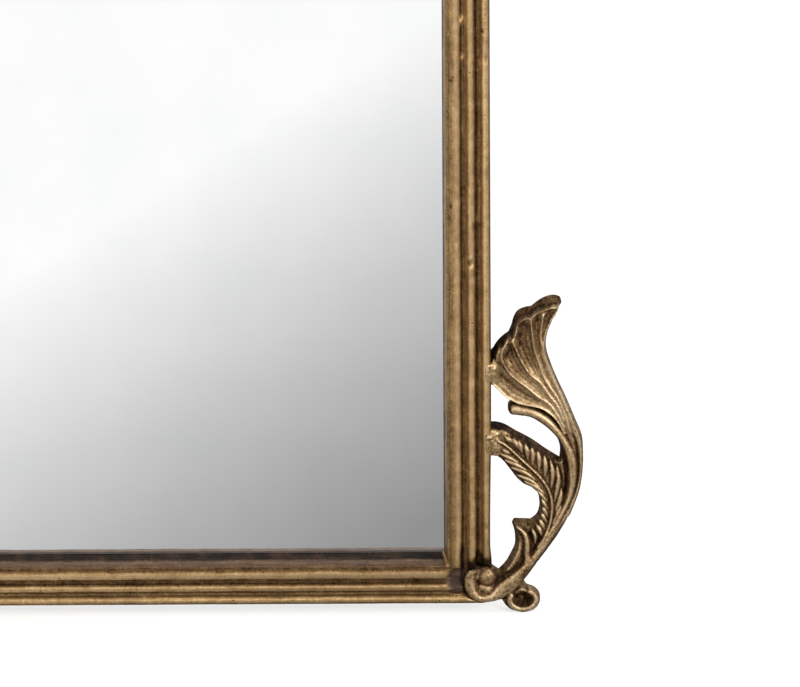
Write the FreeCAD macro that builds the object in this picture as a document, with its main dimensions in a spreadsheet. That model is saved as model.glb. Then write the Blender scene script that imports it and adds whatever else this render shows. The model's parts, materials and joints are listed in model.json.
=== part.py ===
import FreeCAD, Part
import math
import operator
import os

import Sketcher
from FreeCAD import Placement, Rotation, Vector

# Full-length floor mirror: a mitred frame of reeded cast moulding round a pane of mirror glass,
# standing on two cast leaf brackets that grow out of its lower corners.
# X runs to the viewer's right, Z up, and the front faces -Y.

# Sizes in millimetres, one cell each
SIZES = {
    # frame, outer edge to outer edge, and its height above the floor
    "frame_width": 760,
    "frame_height": 1692,
    "frame_lift": 8,
    # moulding, from its outer edge inwards
    "outer_reed_radius": 4.5,
    "outer_groove": 4.6,
    "middle_reed_radius": 4.2,
    "inner_groove": 3.7,
    "inner_bead_radius": 5,
    "lip_slope": 4.3,
    "reed_step": 4.5,
    "groove_drop": 3,
    "sight_depth": 26,
    # rebate and what it holds
    "rebate_width": 10,
    "tape_thickness": 1,
    "tape_width": 6.5,
    "glass_thickness": 4,
    "glass_gap": 1.5,
    "foam_thickness": 2,
    "board_thickness": 3,
    "pack_slack": 0.3,
    "block_length": 60,
    "block_inset": 120,
    # flat corner braces on the back
    "brace_edge": 13,
    "brace_width": 15,
    "brace_leg": 75,
    "brace_thickness": 2,
    "brace_hole_near": 30,
    "brace_hole_far": 62,
    # turn buttons on the back
    "button_place": 22,
    "button_radius": 6,
    "button_arm": 18,
    "button_thickness": 1.5,
    "button_lift": 0.3,
    "button_inset": 230,
    # strap hangers and their rings
    "strap_start": 3,
    "strap_width": 16,
    "strap_thickness": 1.2,
    "strap_hole_near": 8,
    "strap_hole_far": 17,
    "barrel_place": 26,
    "hanger_drop": 480,
    "ring_wire_radius": 1.6,
    "ring_bend": 4,
    "ring_leg": 2,
    "ring_side_play": 0.7,
    "ring_fit": 0.08,
    # pan-head screws
    "screw_radius": 1.75,
    "screw_length": 14,
    "screw_head_radius": 3.2,
    "screw_head_height": 2,
    "volute_screw_radius": 2,
    "volute_screw_length": 24,
    "volute_screw_head_radius": 3.5,
    "volute_screw_head_height": 2.4,
    "cross_arm": 0.5,
    "cross_depth": 1,
    "hole_clearance": 0.1,
    # rubber wall bumpers
    "bumper_radius": 7,
    "bumper_height": 8,
    "bumper_place": 14,
    "bumper_inset": 130,
    # leaf brackets
    "leaf_reach": 77,
    "leaf_height": 277,
    "leaf_back": 12,
    "leaf_thickness": 13,
    "stem_radius": 5,
    "ridge_radius": 2.2,
    "rim_radius": 2.8,
    "rim_inset": 0.5,
    "volute_radius": 15.6,
    "volute_inset": 8.5,
    "volute_rise": 18,
    "volute_seat": 17,
    "seat_clearance": 0.3,
    "corner_round": 10,
    "foot_radius": 12.6,
    "foot_flat_cut": 0.6,
    "foot_place": 26,
}

doc = FreeCAD.newDocument("floor_mirror")
sheet = doc.addObject("Spreadsheet::Sheet", "Sizes")
for row, (alias, number) in enumerate(SIZES.items(), start=1):
    sheet.set(f"A{row}", alias)
    sheet.set(f"B{row}", str(number))
    sheet.setAlias(f"B{row}", alias)
doc.recompute()

OPERATIONS = {"+": operator.add, "-": operator.sub, "*": operator.mul, "/": operator.truediv}


class Size:
    """A length that knows its number and the sheet formula that gives it."""

    def __init__(self, number, formula):
        self.number = float(number)
        self.formula = formula

    def joined(self, sign, other):
        other = other if isinstance(other, Size) else Size(other, repr(float(other)))
        number = OPERATIONS[sign](self.number, other.number)
        return Size(number, f"({self.formula} {sign} {other.formula})")

    def __add__(self, other):
        return self.joined("+", other)

    def __sub__(self, other):
        return self.joined("-", other)

    def __mul__(self, other):
        return self.joined("*", other)

    def __truediv__(self, other):
        return self.joined("/", other)

    def __neg__(self):
        return self * -1


ZERO = Size(0, "0")


def size(alias):
    """The sheet's cell of that name."""
    return Size(sheet.get(alias), f"Sizes.{alias}")


# Places that follow from the sizes
frame_width = size("frame_width")
frame_height = size("frame_height")
half_width = frame_width / 2
frame_bottom = size("frame_lift")
frame_top = frame_bottom + frame_height

outer_radius = size("outer_reed_radius")
middle_radius = size("middle_reed_radius")
bead_radius = size("inner_bead_radius")
middle_left = outer_radius * 2 + size("outer_groove")
middle_right = middle_left + middle_radius * 2
bead_left = middle_right + size("inner_groove")
bead_right = bead_left + bead_radius * 2
rail_width = bead_right + size("lip_slope")
rebate_wall = rail_width - size("rebate_width")

tape_thickness = size("tape_thickness")
glass_thickness = size("glass_thickness")
foam_thickness = size("foam_thickness")
board_thickness = size("board_thickness")
board_back = size("pack_slack")
foam_back = board_back + board_thickness
glass_back = foam_back + foam_thickness
glass_front = glass_back + glass_thickness
rebate_depth = glass_front + tape_thickness

bead_crown = rebate_depth + size("sight_depth")
bead_level = bead_crown - bead_radius
middle_level = bead_crown - size("reed_step") - middle_radius
outer_level = bead_crown - size("reed_step") * 2 - outer_radius
outer_floor = outer_level - size("groove_drop")
inner_floor = middle_level - size("groove_drop")

# The moulding's flat back lies at this Y, so that the whole object is centred on Y = 0
back_plane = (bead_crown - size("bumper_height")) / 2


def seat(obj, x, y, z, rotation=Rotation()):
    """Place an object with its three coordinates bound to the sheet."""
    obj.Placement = Placement(Vector(x.number, y.number, z.number), rotation)
    for axis, value in zip("xyz", (x, y, z)):
        obj.setExpression(f"Placement.Base.{axis}", value.formula)


def about_y(degrees):
    return Rotation(Vector(0, 1, 0), degrees)


def new_body(label):
    body = doc.addObject("PartDesign::Body", label)
    body.Label = label
    return body


def new_sketch(body, name, role, offset=None):
    """An empty sketch on one of the body's own origin planes, moved along its normal by offset."""
    plane = next(item for item in body.Origin.OriginFeatures if item.Role == role)
    sketch = body.newObject("Sketcher::SketchObject", f"{body.Name}_{name}")
    sketch.AttachmentSupport = (plane, [""])
    sketch.MapMode = "FlatFace"
    if offset is not None:
        sketch.AttachmentOffset = Placement(Vector(0, 0, offset.number), Rotation())
        sketch.setExpression("AttachmentOffset.Base.z", offset.formula)
    return sketch


def bind(sketch, constraint, value):
    index = sketch.addConstraint(constraint)
    sketch.setExpression(f"Constraints[{index}]", value.formula)


def fix_point(sketch, geometry, position, x, y):
    """Hold a sketch point at (x, y) from the sketch's origin."""
    for value, kind, axis in ((x, "DistanceX", -2), (y, "DistanceY", -1)):
        if value is ZERO:
            sketch.addConstraint(Sketcher.Constraint("PointOnObject", geometry, position, axis))
        else:
            bind(sketch, Sketcher.Constraint(kind, -1, 1, geometry, position, value.number), value)


def draw_loop(sketch, corners):
    """Closed outline through the corners; a corner (x, y, (cx, cy)) starts an arc about (cx, cy).

    Arcs run anticlockwise to the next corner. The arc's centre is held in the direction across
    its chord, which the corners leave free.
    """
    ends = []
    for here, there in zip(corners, corners[1:] + corners[:1]):
        start = Vector(here[0].number, here[1].number, 0)
        stop = Vector(there[0].number, there[1].number, 0)
        if len(here) == 2:
            line = sketch.addGeometry(Part.LineSegment(start, stop))
            ends.append((line, None))
            continue
        centre = Vector(here[2][0].number, here[2][1].number, 0)
        from_angle = math.atan2(start.y - centre.y, start.x - centre.x)
        to_angle = math.atan2(stop.y - centre.y, stop.x - centre.x)
        if to_angle <= from_angle:
            to_angle += 2 * math.pi
        circle = Part.Circle(centre, Vector(0, 0, 1), (start - centre).Length)
        arc = sketch.addGeometry(Part.ArcOfCircle(circle, from_angle, to_angle))
        flat = abs(stop.x - start.x) > abs(stop.y - start.y)
        ends.append((arc, ("DistanceY", here[2][1]) if flat else ("DistanceX", here[2][0])))
    for (first, _), (second, _) in zip(ends, ends[1:] + ends[:1]):
        sketch.addConstraint(Sketcher.Constraint("Coincident", first, 2, second, 1))
    for (item, across), corner in zip(ends, corners):
        fix_point(sketch, item, 1, corner[0], corner[1])
        if across is None:
            continue
        kind, value = across
        if value is ZERO:
            axis = -1 if kind == "DistanceY" else -2
            sketch.addConstraint(Sketcher.Constraint("PointOnObject", item, 3, axis))
        else:
            bind(sketch, Sketcher.Constraint(kind, -1, 1, item, 3, value.number), value)


def draw_circle(sketch, x, y, radius):
    centre = Vector(x.number, y.number, 0)
    item = sketch.addGeometry(Part.Circle(centre, Vector(0, 0, 1), radius.number))
    fix_point(sketch, item, 3, x, y)
    bind(sketch, Sketcher.Constraint("Radius", item, radius.number), radius)


def draw_rectangle(sketch, x_low, x_high, y_low, y_high):
    draw_loop(sketch, [(x_low, y_low), (x_high, y_low), (x_high, y_high), (x_low, y_high)])


def pad(body, sketch, length, reverse=False):
    feature = body.newObject("PartDesign::Pad", f"{sketch.Name}_pad")
    feature.Profile = sketch
    feature.setExpression("Length", length.formula)
    feature.Reversed = reverse
    doc.recompute()
    return feature


def pocket(body, sketch, depth=None, reverse=False, both_ways=False):
    """Cut a sketch out, to a depth or right through."""
    feature = body.newObject("PartDesign::Pocket", f"{sketch.Name}_pocket")
    feature.Profile = sketch
    feature.Reversed = reverse
    if both_ways:
        feature.SideType = "Symmetric"
    if depth is None:
        feature.Type = "ThroughAll"
    else:
        feature.setExpression("Length", depth.formula)
    doc.recompute()
    return feature


# Screws and bumpers are turned parts, drawn head up along Z and laid with the head to the back
HEAD_BACK = Rotation(Vector(1, 0, 0), -90)


def turned_body(label, corners):
    """A body turned about Z from its half section, given as (radius, height) corners."""
    body = new_body(label)
    sketch = new_sketch(body, "section", "XZ_Plane")
    draw_loop(sketch, corners)
    feature = body.newObject("PartDesign::Revolution", f"{label}_turned")
    feature.Profile = sketch
    feature.ReferenceAxis = (sketch, ["V_Axis"])
    feature.Angle = 360
    doc.recompute()
    return body


def pan_head_screw(label, radius, length, head_radius, head_height):
    """Screw with a pointed shank, a domed head and a cross recess."""
    side = head_height / 2
    body = turned_body(label, [
        (ZERO, -length),
        (radius, radius - length),
        (radius, ZERO),
        (head_radius, ZERO),
        (head_radius, side),
        (head_radius * 0.55, head_height),
        (ZERO, head_height),
    ])
    arm = size("cross_arm")
    reach = head_radius * 0.55
    recess = new_sketch(body, "cross", "XY_Plane", head_height)
    draw_loop(recess, [
        (arm, -reach), (arm, -arm), (reach, -arm), (reach, arm), (arm, arm), (arm, reach),
        (-arm, reach), (-arm, arm), (-reach, arm), (-reach, -arm), (-arm, -arm), (-arm, -reach),
    ])
    pocket(body, recess, size("cross_depth"))
    return body


def group(label, template, spots, rotation=HEAD_BACK):
    """Copies of one template at (x, y, z) spots, kept together as separate solids."""
    copies = []
    for number, (x, y, z) in enumerate(spots, start=1):
        copy = doc.addObject("App::Link", f"{label}_{number}")
        copy.LinkedObject = template
        seat(copy, x, y, z, rotation)
        copies.append(copy)
    joined = doc.addObject("Part::Compound", label)
    joined.Label = label
    joined.Links = copies
    return joined


nodes = []

# Places along the rails, each measured from a rail's end
brace_middle = size("brace_edge") + size("brace_width") / 2
brace_near = size("brace_edge") + size("brace_hole_near")
brace_far = size("brace_edge") + size("brace_hole_far")
button_inset = size("button_inset")


def button_places(length, count):
    """Equal steps between the first and the last button of a rail."""
    step = (length - button_inset * 2) / (count - 1)
    return [button_inset + step * number for number in range(count)]


STILE_BUTTONS = button_places(frame_height, 4)
RAIL_BUTTONS = button_places(frame_width, 2)

pilot_radius = size("screw_radius") + size("hole_clearance")
strap_holes = (size("strap_hole_near"), size("strap_hole_far"))


def reeded_rail(label, length, buttons, hanger_at=None, volutes=(), volute_screw=None,
                round_low=False, round_high=False):
    """One side of the frame, drawn with its outer edge on Z and its back on Y = 0.

    volutes lists the (across, along) centres of the round seats at its ends, and volute_screw
    the one of them that a screw passes through. A round end has its outer corner rounded off.
    """
    body = new_body(label)
    section = new_sketch(body, "section", "XY_Plane")
    draw_loop(section, [
        (ZERO, ZERO),
        (ZERO, -outer_level, (outer_radius, -outer_level)),
        (outer_radius * 2, -outer_level),
        (outer_radius * 2, -outer_floor),
        (middle_left, -outer_floor),
        (middle_left, -middle_level, (middle_left + middle_radius, -middle_level)),
        (middle_right, -middle_level),
        (middle_right, -inner_floor),
        (bead_left, -inner_floor),
        (bead_left, -bead_level, (bead_left + bead_radius, -bead_level)),
        (bead_right, -bead_level),
        (rail_width, -rebate_depth),
        (rebate_wall, -rebate_depth),
        (rebate_wall, ZERO),
    ])
    pad(body, section, length)

    over = size("rebate_width")
    mitres = new_sketch(body, "mitres", "XZ_Plane")
    wide = rail_width + over
    draw_loop(mitres, [(-over, -over), (wide, -over), (wide, wide)])
    draw_loop(mitres, [(-over, length + over), (wide, length - wide), (wide, length + over)])
    pocket(body, mitres, both_ways=True)

    pilots = new_sketch(body, "pilots", "XZ_Plane")
    for along in (brace_near, brace_far, length - brace_near, length - brace_far):
        draw_circle(pilots, brace_middle, along, pilot_radius)
    for along in buttons:
        draw_circle(pilots, size("button_place"), along, pilot_radius)
    if hanger_at is not None:
        for across in strap_holes:
            draw_circle(pilots, across, hanger_at, pilot_radius)
    pocket(body, pilots, size("screw_length"), reverse=True)

    if volutes:
        seats = new_sketch(body, "volute_seats", "XZ_Plane", size("volute_seat"))
        for across, along in volutes:
            draw_circle(seats, across, along, size("volute_radius") + size("seat_clearance"))
        pocket(body, seats, reverse=True)
    curve = size("corner_round")
    rounds = new_sketch(body, "rounds", "XZ_Plane") if round_low or round_high else None
    if round_low:
        draw_loop(rounds, [(ZERO, curve, (curve, curve)), (curve, ZERO), (curve, -over),
                           (-over, -over), (-over, curve)])
    if round_high:
        draw_loop(rounds, [(curve, length, (curve, length - curve)), (ZERO, length - curve),
                           (-over, length - curve), (-over, length + over),
                           (curve, length + over)])
    if rounds is not None:
        pocket(body, rounds, both_ways=True)
    if volute_screw is not None:
        hole = new_sketch(body, "volute_hole", "XZ_Plane")
        hole_radius = size("volute_screw_radius") + size("hole_clearance")
        draw_circle(hole, volute_screw[0], volute_screw[1], hole_radius)
        pocket(body, hole, size("volute_seat"), reverse=True)
    nodes.append(body)
    return body


# Frame: two stiles and two rails of the same moulding, turned to their sides
inset = size("volute_inset")
rise = size("volute_rise")
hanger_drop = size("hanger_drop")
low_seat = (inset, rise)
high_seat = (inset, frame_height - rise)
left_stile = reeded_rail("left_stile", frame_height, STILE_BUTTONS,
                         frame_height - hanger_drop, [low_seat], low_seat, round_low=True)
seat(left_stile, -half_width, back_plane, frame_bottom)
right_stile = reeded_rail("right_stile", frame_height, STILE_BUTTONS,
                          hanger_drop, [high_seat], high_seat, round_high=True)
seat(right_stile, half_width, back_plane, frame_top, about_y(180))
bottom_rail = reeded_rail("bottom_rail", frame_width, RAIL_BUTTONS,
                          volutes=[(rise, inset), (rise, frame_width - inset)],
                          round_low=True, round_high=True)
seat(bottom_rail, half_width, back_plane, frame_bottom, about_y(-90))
top_rail = reeded_rail("top_rail", frame_width, RAIL_BUTTONS)
seat(top_rail, -half_width, back_plane, frame_top, about_y(90))

# Glass pack, from the lip backwards: tape, glass, foam, board
pane_side = half_width - rebate_wall - size("glass_gap")
pane_bottom = frame_bottom + rebate_wall + size("glass_gap")
pane_top = frame_top - rebate_wall - size("glass_gap")


def sheet_of_pack(label, back, thickness, border=None):
    """A flat sheet that fills the rebate, or a border of that width round its edge."""
    body = new_body(label)
    outline = new_sketch(body, "outline", "XZ_Plane", back)
    draw_rectangle(outline, -pane_side, pane_side, pane_bottom, pane_top)
    if border is not None:
        draw_rectangle(outline, border - pane_side, pane_side - border,
                       pane_bottom + border, pane_top - border)
    pad(body, outline, thickness)
    seat(body, ZERO, back_plane, ZERO)
    nodes.append(body)


sheet_of_pack("glazing_tape", glass_front, tape_thickness, size("tape_width"))
sheet_of_pack("mirror_glass", glass_back, glass_thickness)
sheet_of_pack("foam_liner", foam_back, foam_thickness)
sheet_of_pack("backing_board", board_back, board_thickness)

# Setting blocks carry the glass on the bottom rail
blocks = []
block_length = size("block_length")
block_start = pane_side - size("block_inset") - block_length
for side, x in (("left", -(block_start + block_length)), ("right", block_start)):
    block = doc.addObject("Part::Box", f"setting_block_{side}")
    block.setExpression("Length", block_length.formula)
    block.setExpression("Width", glass_thickness.formula)
    block.setExpression("Height", size("glass_gap").formula)
    seat(block, x, back_plane - glass_front, frame_bottom + rebate_wall)
    blocks.append(block)
setting_blocks = doc.addObject("Part::Compound", "setting_blocks")
setting_blocks.Label = "setting_blocks"
setting_blocks.Links = blocks
nodes.append(setting_blocks)

# Corner braces, one L-shaped plate turned to each corner
CORNERS = {
    "bottom_left": (-1, frame_bottom, 1, 0),
    "bottom_right": (1, frame_bottom, 1, -90),
    "top_right": (1, frame_top, -1, 180),
    "top_left": (-1, frame_top, -1, 90),
}
small_screw = pan_head_screw("small_screw", size("screw_radius"), size("screw_length"),
                             size("screw_head_radius"), size("screw_head_height"))
edge = size("brace_edge")
brace_inner = edge + size("brace_width")
brace_end = edge + size("brace_leg")
brace_spots = []
for corner, (way, level, up, turn) in CORNERS.items():
    brace = new_body(f"corner_brace_{corner}")
    outline = new_sketch(brace, "outline", "XZ_Plane")
    draw_loop(outline, [(edge, edge), (brace_end, edge), (brace_end, brace_inner),
                        (brace_inner, brace_inner), (brace_inner, brace_end), (edge, brace_end)])
    pad(brace, outline, size("brace_thickness"), reverse=True)
    holes = new_sketch(brace, "holes", "XZ_Plane")
    for along in (brace_near, brace_far):
        for across, height in ((along, brace_middle), (brace_middle, along)):
            draw_circle(holes, across, height, pilot_radius)
            brace_spots.append(((half_width - across) * way,
                                back_plane + size("brace_thickness"),
                                level + height * up))
    pocket(brace, holes, both_ways=True)
    seat(brace, half_width * way, back_plane, level, about_y(turn))
    nodes.append(brace)
nodes.append(group("corner_brace_screws", small_screw, brace_spots))

# Turn buttons, each free to turn on the shank of its own screw
button_radius = size("button_radius")
button_arm = size("button_arm")
button_lift = size("button_lift")
button_bore = size("screw_radius") + size("ring_fit")


def turn_button(label, x, z, turn):
    """A flat rounded bar; its arm points along the body's own +X, over the backing board."""
    body = new_body(label)
    outline = new_sketch(body, "outline", "XZ_Plane")
    draw_loop(outline, [
        (ZERO, -button_radius),
        (button_arm, -button_radius, (button_arm, ZERO)),
        (button_arm, button_radius),
        (ZERO, button_radius, (ZERO, ZERO)),
    ])
    pad(body, outline, size("button_thickness"), reverse=True)
    bore = new_sketch(body, "bore", "XZ_Plane")
    draw_circle(bore, ZERO, ZERO, button_bore)
    pocket(body, bore, both_ways=True)
    seat(body, x, back_plane + button_lift, z, about_y(turn))
    nodes.append(body)


button_across = half_width - size("button_place")
button_low = frame_bottom + size("button_place")
button_high = frame_top - size("button_place")
button_spots = []
for number, along in enumerate(STILE_BUTTONS, start=1):
    for side, way, turn in (("left", -1, 0), ("right", 1, 180)):
        button_spots.append((f"turn_button_{side}_{number}", button_across * way,
                             frame_bottom + along, turn))
for number, along in enumerate(RAIL_BUTTONS, start=1):
    for side, z, turn in (("bottom", button_low, -90), ("top", button_high, 90)):
        button_spots.append((f"turn_button_{side}_{number}", along - half_width, z, turn))
for label, x, z, turn in button_spots:
    turn_button(label, x, z, turn)
button_head = back_plane + button_lift * 2 + size("button_thickness")
nodes.append(group("turn_button_screws", small_screw,
                   [(x, button_head, z) for _, x, z, _ in button_spots]))

# Strap hangers: a strip rolled into a barrel, and a D-ring that swings in the barrel
wire = size("ring_wire_radius")
barrel_bore = wire + size("ring_fit")
barrel_radius = barrel_bore + size("strap_thickness")
barrel_place = size("barrel_place")
strap_half = size("strap_width") / 2
hanger_level = frame_top - hanger_drop
bar_half = strap_half + size("ring_side_play")
bend = size("ring_bend")
leg_end = bend + size("ring_leg")
bow = bar_half + bend
hanger_spots = []
for side, way, turn in (("left", -1, 0), ("right", 1, 180)):
    strap = new_body(f"hanger_strap_{side}")
    strip = new_sketch(strap, "strip", "XZ_Plane")
    draw_rectangle(strip, size("strap_start"), barrel_place - wire / 2, -strap_half, strap_half)
    pad(strap, strip, size("strap_thickness"), reverse=True)
    barrel = new_sketch(strap, "barrel", "XY_Plane", -strap_half)
    draw_circle(barrel, barrel_place, barrel_radius, barrel_radius)
    pad(strap, barrel, size("strap_width"))
    bore = new_sketch(strap, "bore", "XY_Plane")
    draw_circle(bore, barrel_place, barrel_radius, barrel_bore)
    pocket(strap, bore, both_ways=True)
    holes = new_sketch(strap, "holes", "XZ_Plane")
    for across in strap_holes:
        draw_circle(holes, across, ZERO, pilot_radius)
        hanger_spots.append(((half_width - across) * way,
                             back_plane + size("strap_thickness"), hanger_level))
    pocket(strap, holes, both_ways=True)
    seat(strap, half_width * way, back_plane, hanger_level, about_y(turn))
    nodes.append(strap)

    ring = new_body(f"hanger_ring_{side}")
    path = new_sketch(ring, "path", "XZ_Plane")
    draw_loop(path, [
        (ZERO, bar_half),
        (ZERO, -bar_half, (bend, -bar_half)),
        (bend, -bow),
        (leg_end, -bow, (leg_end, ZERO)),
        (leg_end, bow),
        (bend, bow, (bend, bar_half)),
    ])
    round_wire = new_sketch(ring, "wire", "XY_Plane")
    draw_circle(round_wire, ZERO, ZERO, wire)
    doc.recompute()
    loop = ring.newObject("PartDesign::AdditivePipe", f"hanger_ring_{side}_bent")
    loop.Profile = round_wire
    loop.Spine = (path, [f"Edge{number}" for number in range(1, 7)])
    doc.recompute()
    seat(ring, (half_width - barrel_place) * way, back_plane + barrel_radius, hanger_level,
         about_y(turn))
    nodes.append(ring)
nodes.append(group("hanger_screws", small_screw, hanger_spots))

# Wall bumpers, rubber buttons with a flat back
bumper = turned_body("bumper", [
    (ZERO, ZERO),
    (size("bumper_radius"), ZERO),
    (size("bumper_radius"), size("bumper_height") / 2),
    (size("bumper_radius") * 0.7, size("bumper_height")),
    (ZERO, size("bumper_height")),
])
bumper_across = half_width - size("bumper_place")
bumper_inset = size("bumper_inset")
nodes.append(group("wall_bumpers", bumper, [
    (bumper_across * way, back_plane, level)
    for way in (-1, 1)
    for level in (frame_bottom + bumper_inset, frame_top - bumper_inset)
]))

# Leaf brackets: a cast plate with the leaves' outline, and round stems and ridges on its face.
# The outline is drawn outwards and up from the stile's side at floor level, for a leaf of the
# drawn reach and height, and stretched to the sizes in the sheet.
DRAWN_REACH = 77
DRAWN_HEIGHT = 277
OUTLINE = [
    # scalloped lobes of the upper leaf, from its lug to its tip
    ("line", [(0, 222), (2, 224)]),
    ("curve", [(2, 224), (5, 234.5), (15, 244.5)]),
    ("curve", [(15, 244.5), (21.5, 260), (33.5, 266.8)]),
    ("curve", [(33.5, 266.8), (46, 275.8), (54, 276.5), (59, 269.5)]),
    # outer side of the leaf and stem, down to the foot
    ("curve", [(59, 269.5), (49, 254), (46, 236), (57.6, 203), (72, 168), (77, 141), (72, 109),
               (58.7, 79), (41.6, 54.4), (27, 30)]),
    # root of the foot and the side brazed to the stile
    ("line", [(27, 30), (27, 18), (12, 9.5), (0, 12), (0, 38)]),
    # inner side of the stem up to the thorn
    ("curve", [(0, 38), (6, 40), (13, 47), (20.4, 63), (18, 76.5)]),
    ("line", [(18, 76.5), (33, 77.5)]),
    # lower edge of the feather leaf to its lug, and its upper edge back to the stem
    ("curve", [(33, 77.5), (36.8, 94), (33.4, 107.5), (21.8, 114.7), (14.2, 124.2), (4, 138)]),
    ("line", [(4, 138), (0, 138), (0, 161), (2, 163)]),
    ("curve", [(2, 163), (20.7, 155.5), (40, 144.3), (57, 135.5)]),
    # rolled rib to its curled end, and the leaf's lower edge to its lug
    ("curve", [(57, 135.5), (57, 150), (45, 166.8), (22, 175.5)]),
    ("curve", [(22, 175.5), (15.7, 180.5), (19, 186)]),
    ("curve", [(19, 186), (10, 196), (2, 203.8)]),
    ("line", [(2, 203.8), (0, 203.8), (0, 222)]),
]
# Round ridges: radius name, first point, heading, then the stops of a chain of tangent arcs
RIDGES = [
    ("stem_radius", (27, 22), (0.2, 1), [(44, 66), (65, 110), (69, 142), (66, 162)]),
    ("ridge_radius", (62, 180), (-0.45, 1), [(44, 215), (36, 237), (34, 260)]),
    ("ridge_radius", (55, 181), (-0.8, 1), [(44, 197), (26, 222), (18, 238)]),
    ("ridge_radius", (48, 182), (-1, 0.5), [(36, 190), (18, 208), (10, 224)]),
    ("rim_radius", (61, 142), (-0.15, 1), [(52, 162), (22, 180.5)]),
    ("rim_radius", (45, 88), (0.1, 1), [(45, 112), (34, 127), (9, 149)]),
]

stretch_across = size("leaf_reach").number / DRAWN_REACH
stretch_up = size("leaf_height").number / DRAWN_HEIGHT
leaf_back = size("leaf_back").number
leaf_front = leaf_back + size("leaf_thickness").number
side_x = half_width.number
volute_x = side_x - inset.number
volute_z = frame_bottom.number + rise.number
volute_radius = size("volute_radius").number
volute_seat = size("volute_seat").number
rim_radius = size("rim_radius").number
foot_radius = size("foot_radius").number
foot_x = side_x + size("foot_place").number * stretch_across
foot_z = foot_radius - size("foot_flat_cut").number


def leaf_point(spot, depth):
    """A drawn point as a place on the right-hand side, at a depth in front of the back plane."""
    return Vector(side_x + spot[0] * stretch_across, -depth, spot[1] * stretch_up)


def tangent_arcs(start, heading, stops):
    """Edges of arcs in one XZ plane that leave start along heading and meet without a kink."""
    edges = []
    heading = heading.normalize()
    for stop in stops:
        chord = stop - start
        across = Vector(-heading.z, 0, heading.x)
        lean = 2 * chord.dot(across)
        if abs(lean) < 1e-6:
            edges.append(Part.makeLine(start, stop))
        else:
            centre = start + across * (chord.dot(chord) / lean)
            middle = start + chord / 2 - centre
            radius = (start - centre).Length
            middle = centre + middle.normalize() * radius
            edges.append(Part.Arc(start, middle, stop).toShape())
        # the tangent at the stop is the heading mirrored in the chord
        along = Vector(chord).normalize()
        heading = along * (2 * heading.dot(along)) - heading
        start = stop
    return edges


def round_bar(edges, heading, radius):
    """A bar of round section along a chain of edges, with rounded ends."""
    wire_path = Part.Wire(edges)
    first = edges[0].valueAt(edges[0].FirstParameter)
    ends = [edges[0].Vertexes[0].Point, edges[-1].Vertexes[-1].Point]
    section = Part.Wire(Part.makeCircle(radius, first, heading))
    bar = wire_path.makePipeShell([section], True, False)
    for point in ends:
        bar = bar.fuse(Part.makeSphere(radius * 0.96, point))
    return bar


def outline_wire(depth):
    edges = []
    for kind, spots in OUTLINE:
        points = [leaf_point(spot, depth) for spot in spots]
        if kind == "line":
            edges += [Part.makeLine(a, b) for a, b in zip(points, points[1:])]
        else:
            curve = Part.BSplineCurve()
            curve.interpolate(points)
            edges.append(curve.toShape())
    return Part.Wire(edges)


def disc(x, z, radius, back, front):
    return Part.makeCylinder(radius, front - back, Vector(x, -back, z), Vector(0, -1, 0))


def spiral(x, z, radius, depth, turns, shrink):
    """Half circles of falling radius, wound clockwise from the foot of the first one."""
    edges = []
    start = Vector(x, -depth, z - radius)
    sign = 1
    for _ in range(turns):
        stop = Vector(x, -depth, start.z + sign * 2 * radius)
        middle = Vector(x - sign * radius, -depth, (start.z + stop.z) / 2)
        edges.append(Part.Arc(start, middle, stop).toShape())
        start = stop
        sign = -sign
        radius -= shrink
    return edges


def leaf_bracket():
    """The right-hand casting in its place, with the moulding's back plane on Y = 0."""
    plate = Part.Face(outline_wire(leaf_back)).extrude(Vector(0, leaf_back - leaf_front, 0))
    pieces = []
    for radius_name, start, heading, stops in RIDGES:
        radius = size(radius_name).number
        way = Vector(heading[0] * stretch_across, 0, heading[1] * stretch_up)
        edges = tangent_arcs(leaf_point(start, leaf_front), way,
                             [leaf_point(stop, leaf_front) for stop in stops])
        pieces.append(round_bar(edges, way, radius))
    # corner volute on its seat, its coiled rim and its eye
    rim_path = volute_radius - rim_radius - size("rim_inset").number
    pieces.append(disc(volute_x, volute_z, volute_radius, volute_seat, leaf_front))
    coil = spiral(volute_x, volute_z, rim_path, leaf_front, 2, rim_radius * 1.2)
    pieces.append(round_bar(coil, Vector(-1, 0, 0), rim_radius))
    pieces.append(Part.makeSphere(rim_path / 2, Vector(volute_x, -leaf_front, volute_z)))
    # foot scroll with its rim
    pieces.append(disc(foot_x, foot_z, foot_radius, leaf_back, leaf_front))
    foot_ring = Part.makeTorus(foot_radius - rim_radius - size("rim_inset").number, rim_radius,
                               Vector(foot_x, -leaf_front, foot_z), Vector(0, 1, 0))
    pieces.append(foot_ring)
    bracket = plate.multiFuse(pieces)
    # the casting stays outside the frame, but for the volute, and above the floor
    tall = size("leaf_height").number * 2
    outside = Part.makeBox(tall, tall, tall, Vector(side_x, -tall / 2, 0))
    keep = outside.fuse(disc(volute_x, volute_z, volute_radius, volute_seat, tall / 2))
    bracket = bracket.common(keep)
    screw_depth = size("volute_screw_length").number + size("hole_clearance").number
    screw_radius = size("volute_screw_radius").number
    bracket = bracket.cut(disc(volute_x, volute_z, screw_radius, 0, screw_depth))
    return bracket.removeSplitter()


casting = leaf_bracket()
mirrored = casting.mirror(Vector(0, 0, 0), Vector(1, 0, 0))
for label, shape in (("right_leaf_bracket", casting), ("left_leaf_bracket", mirrored)):
    bracket = doc.addObject("Part::Feature", label)
    bracket.Label = label
    bracket.Shape = shape.Solids[0] if len(shape.Solids) == 1 else shape
    bracket.Placement = Placement(Vector(0, back_plane.number, 0), Rotation())
    nodes.append(bracket)

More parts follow.
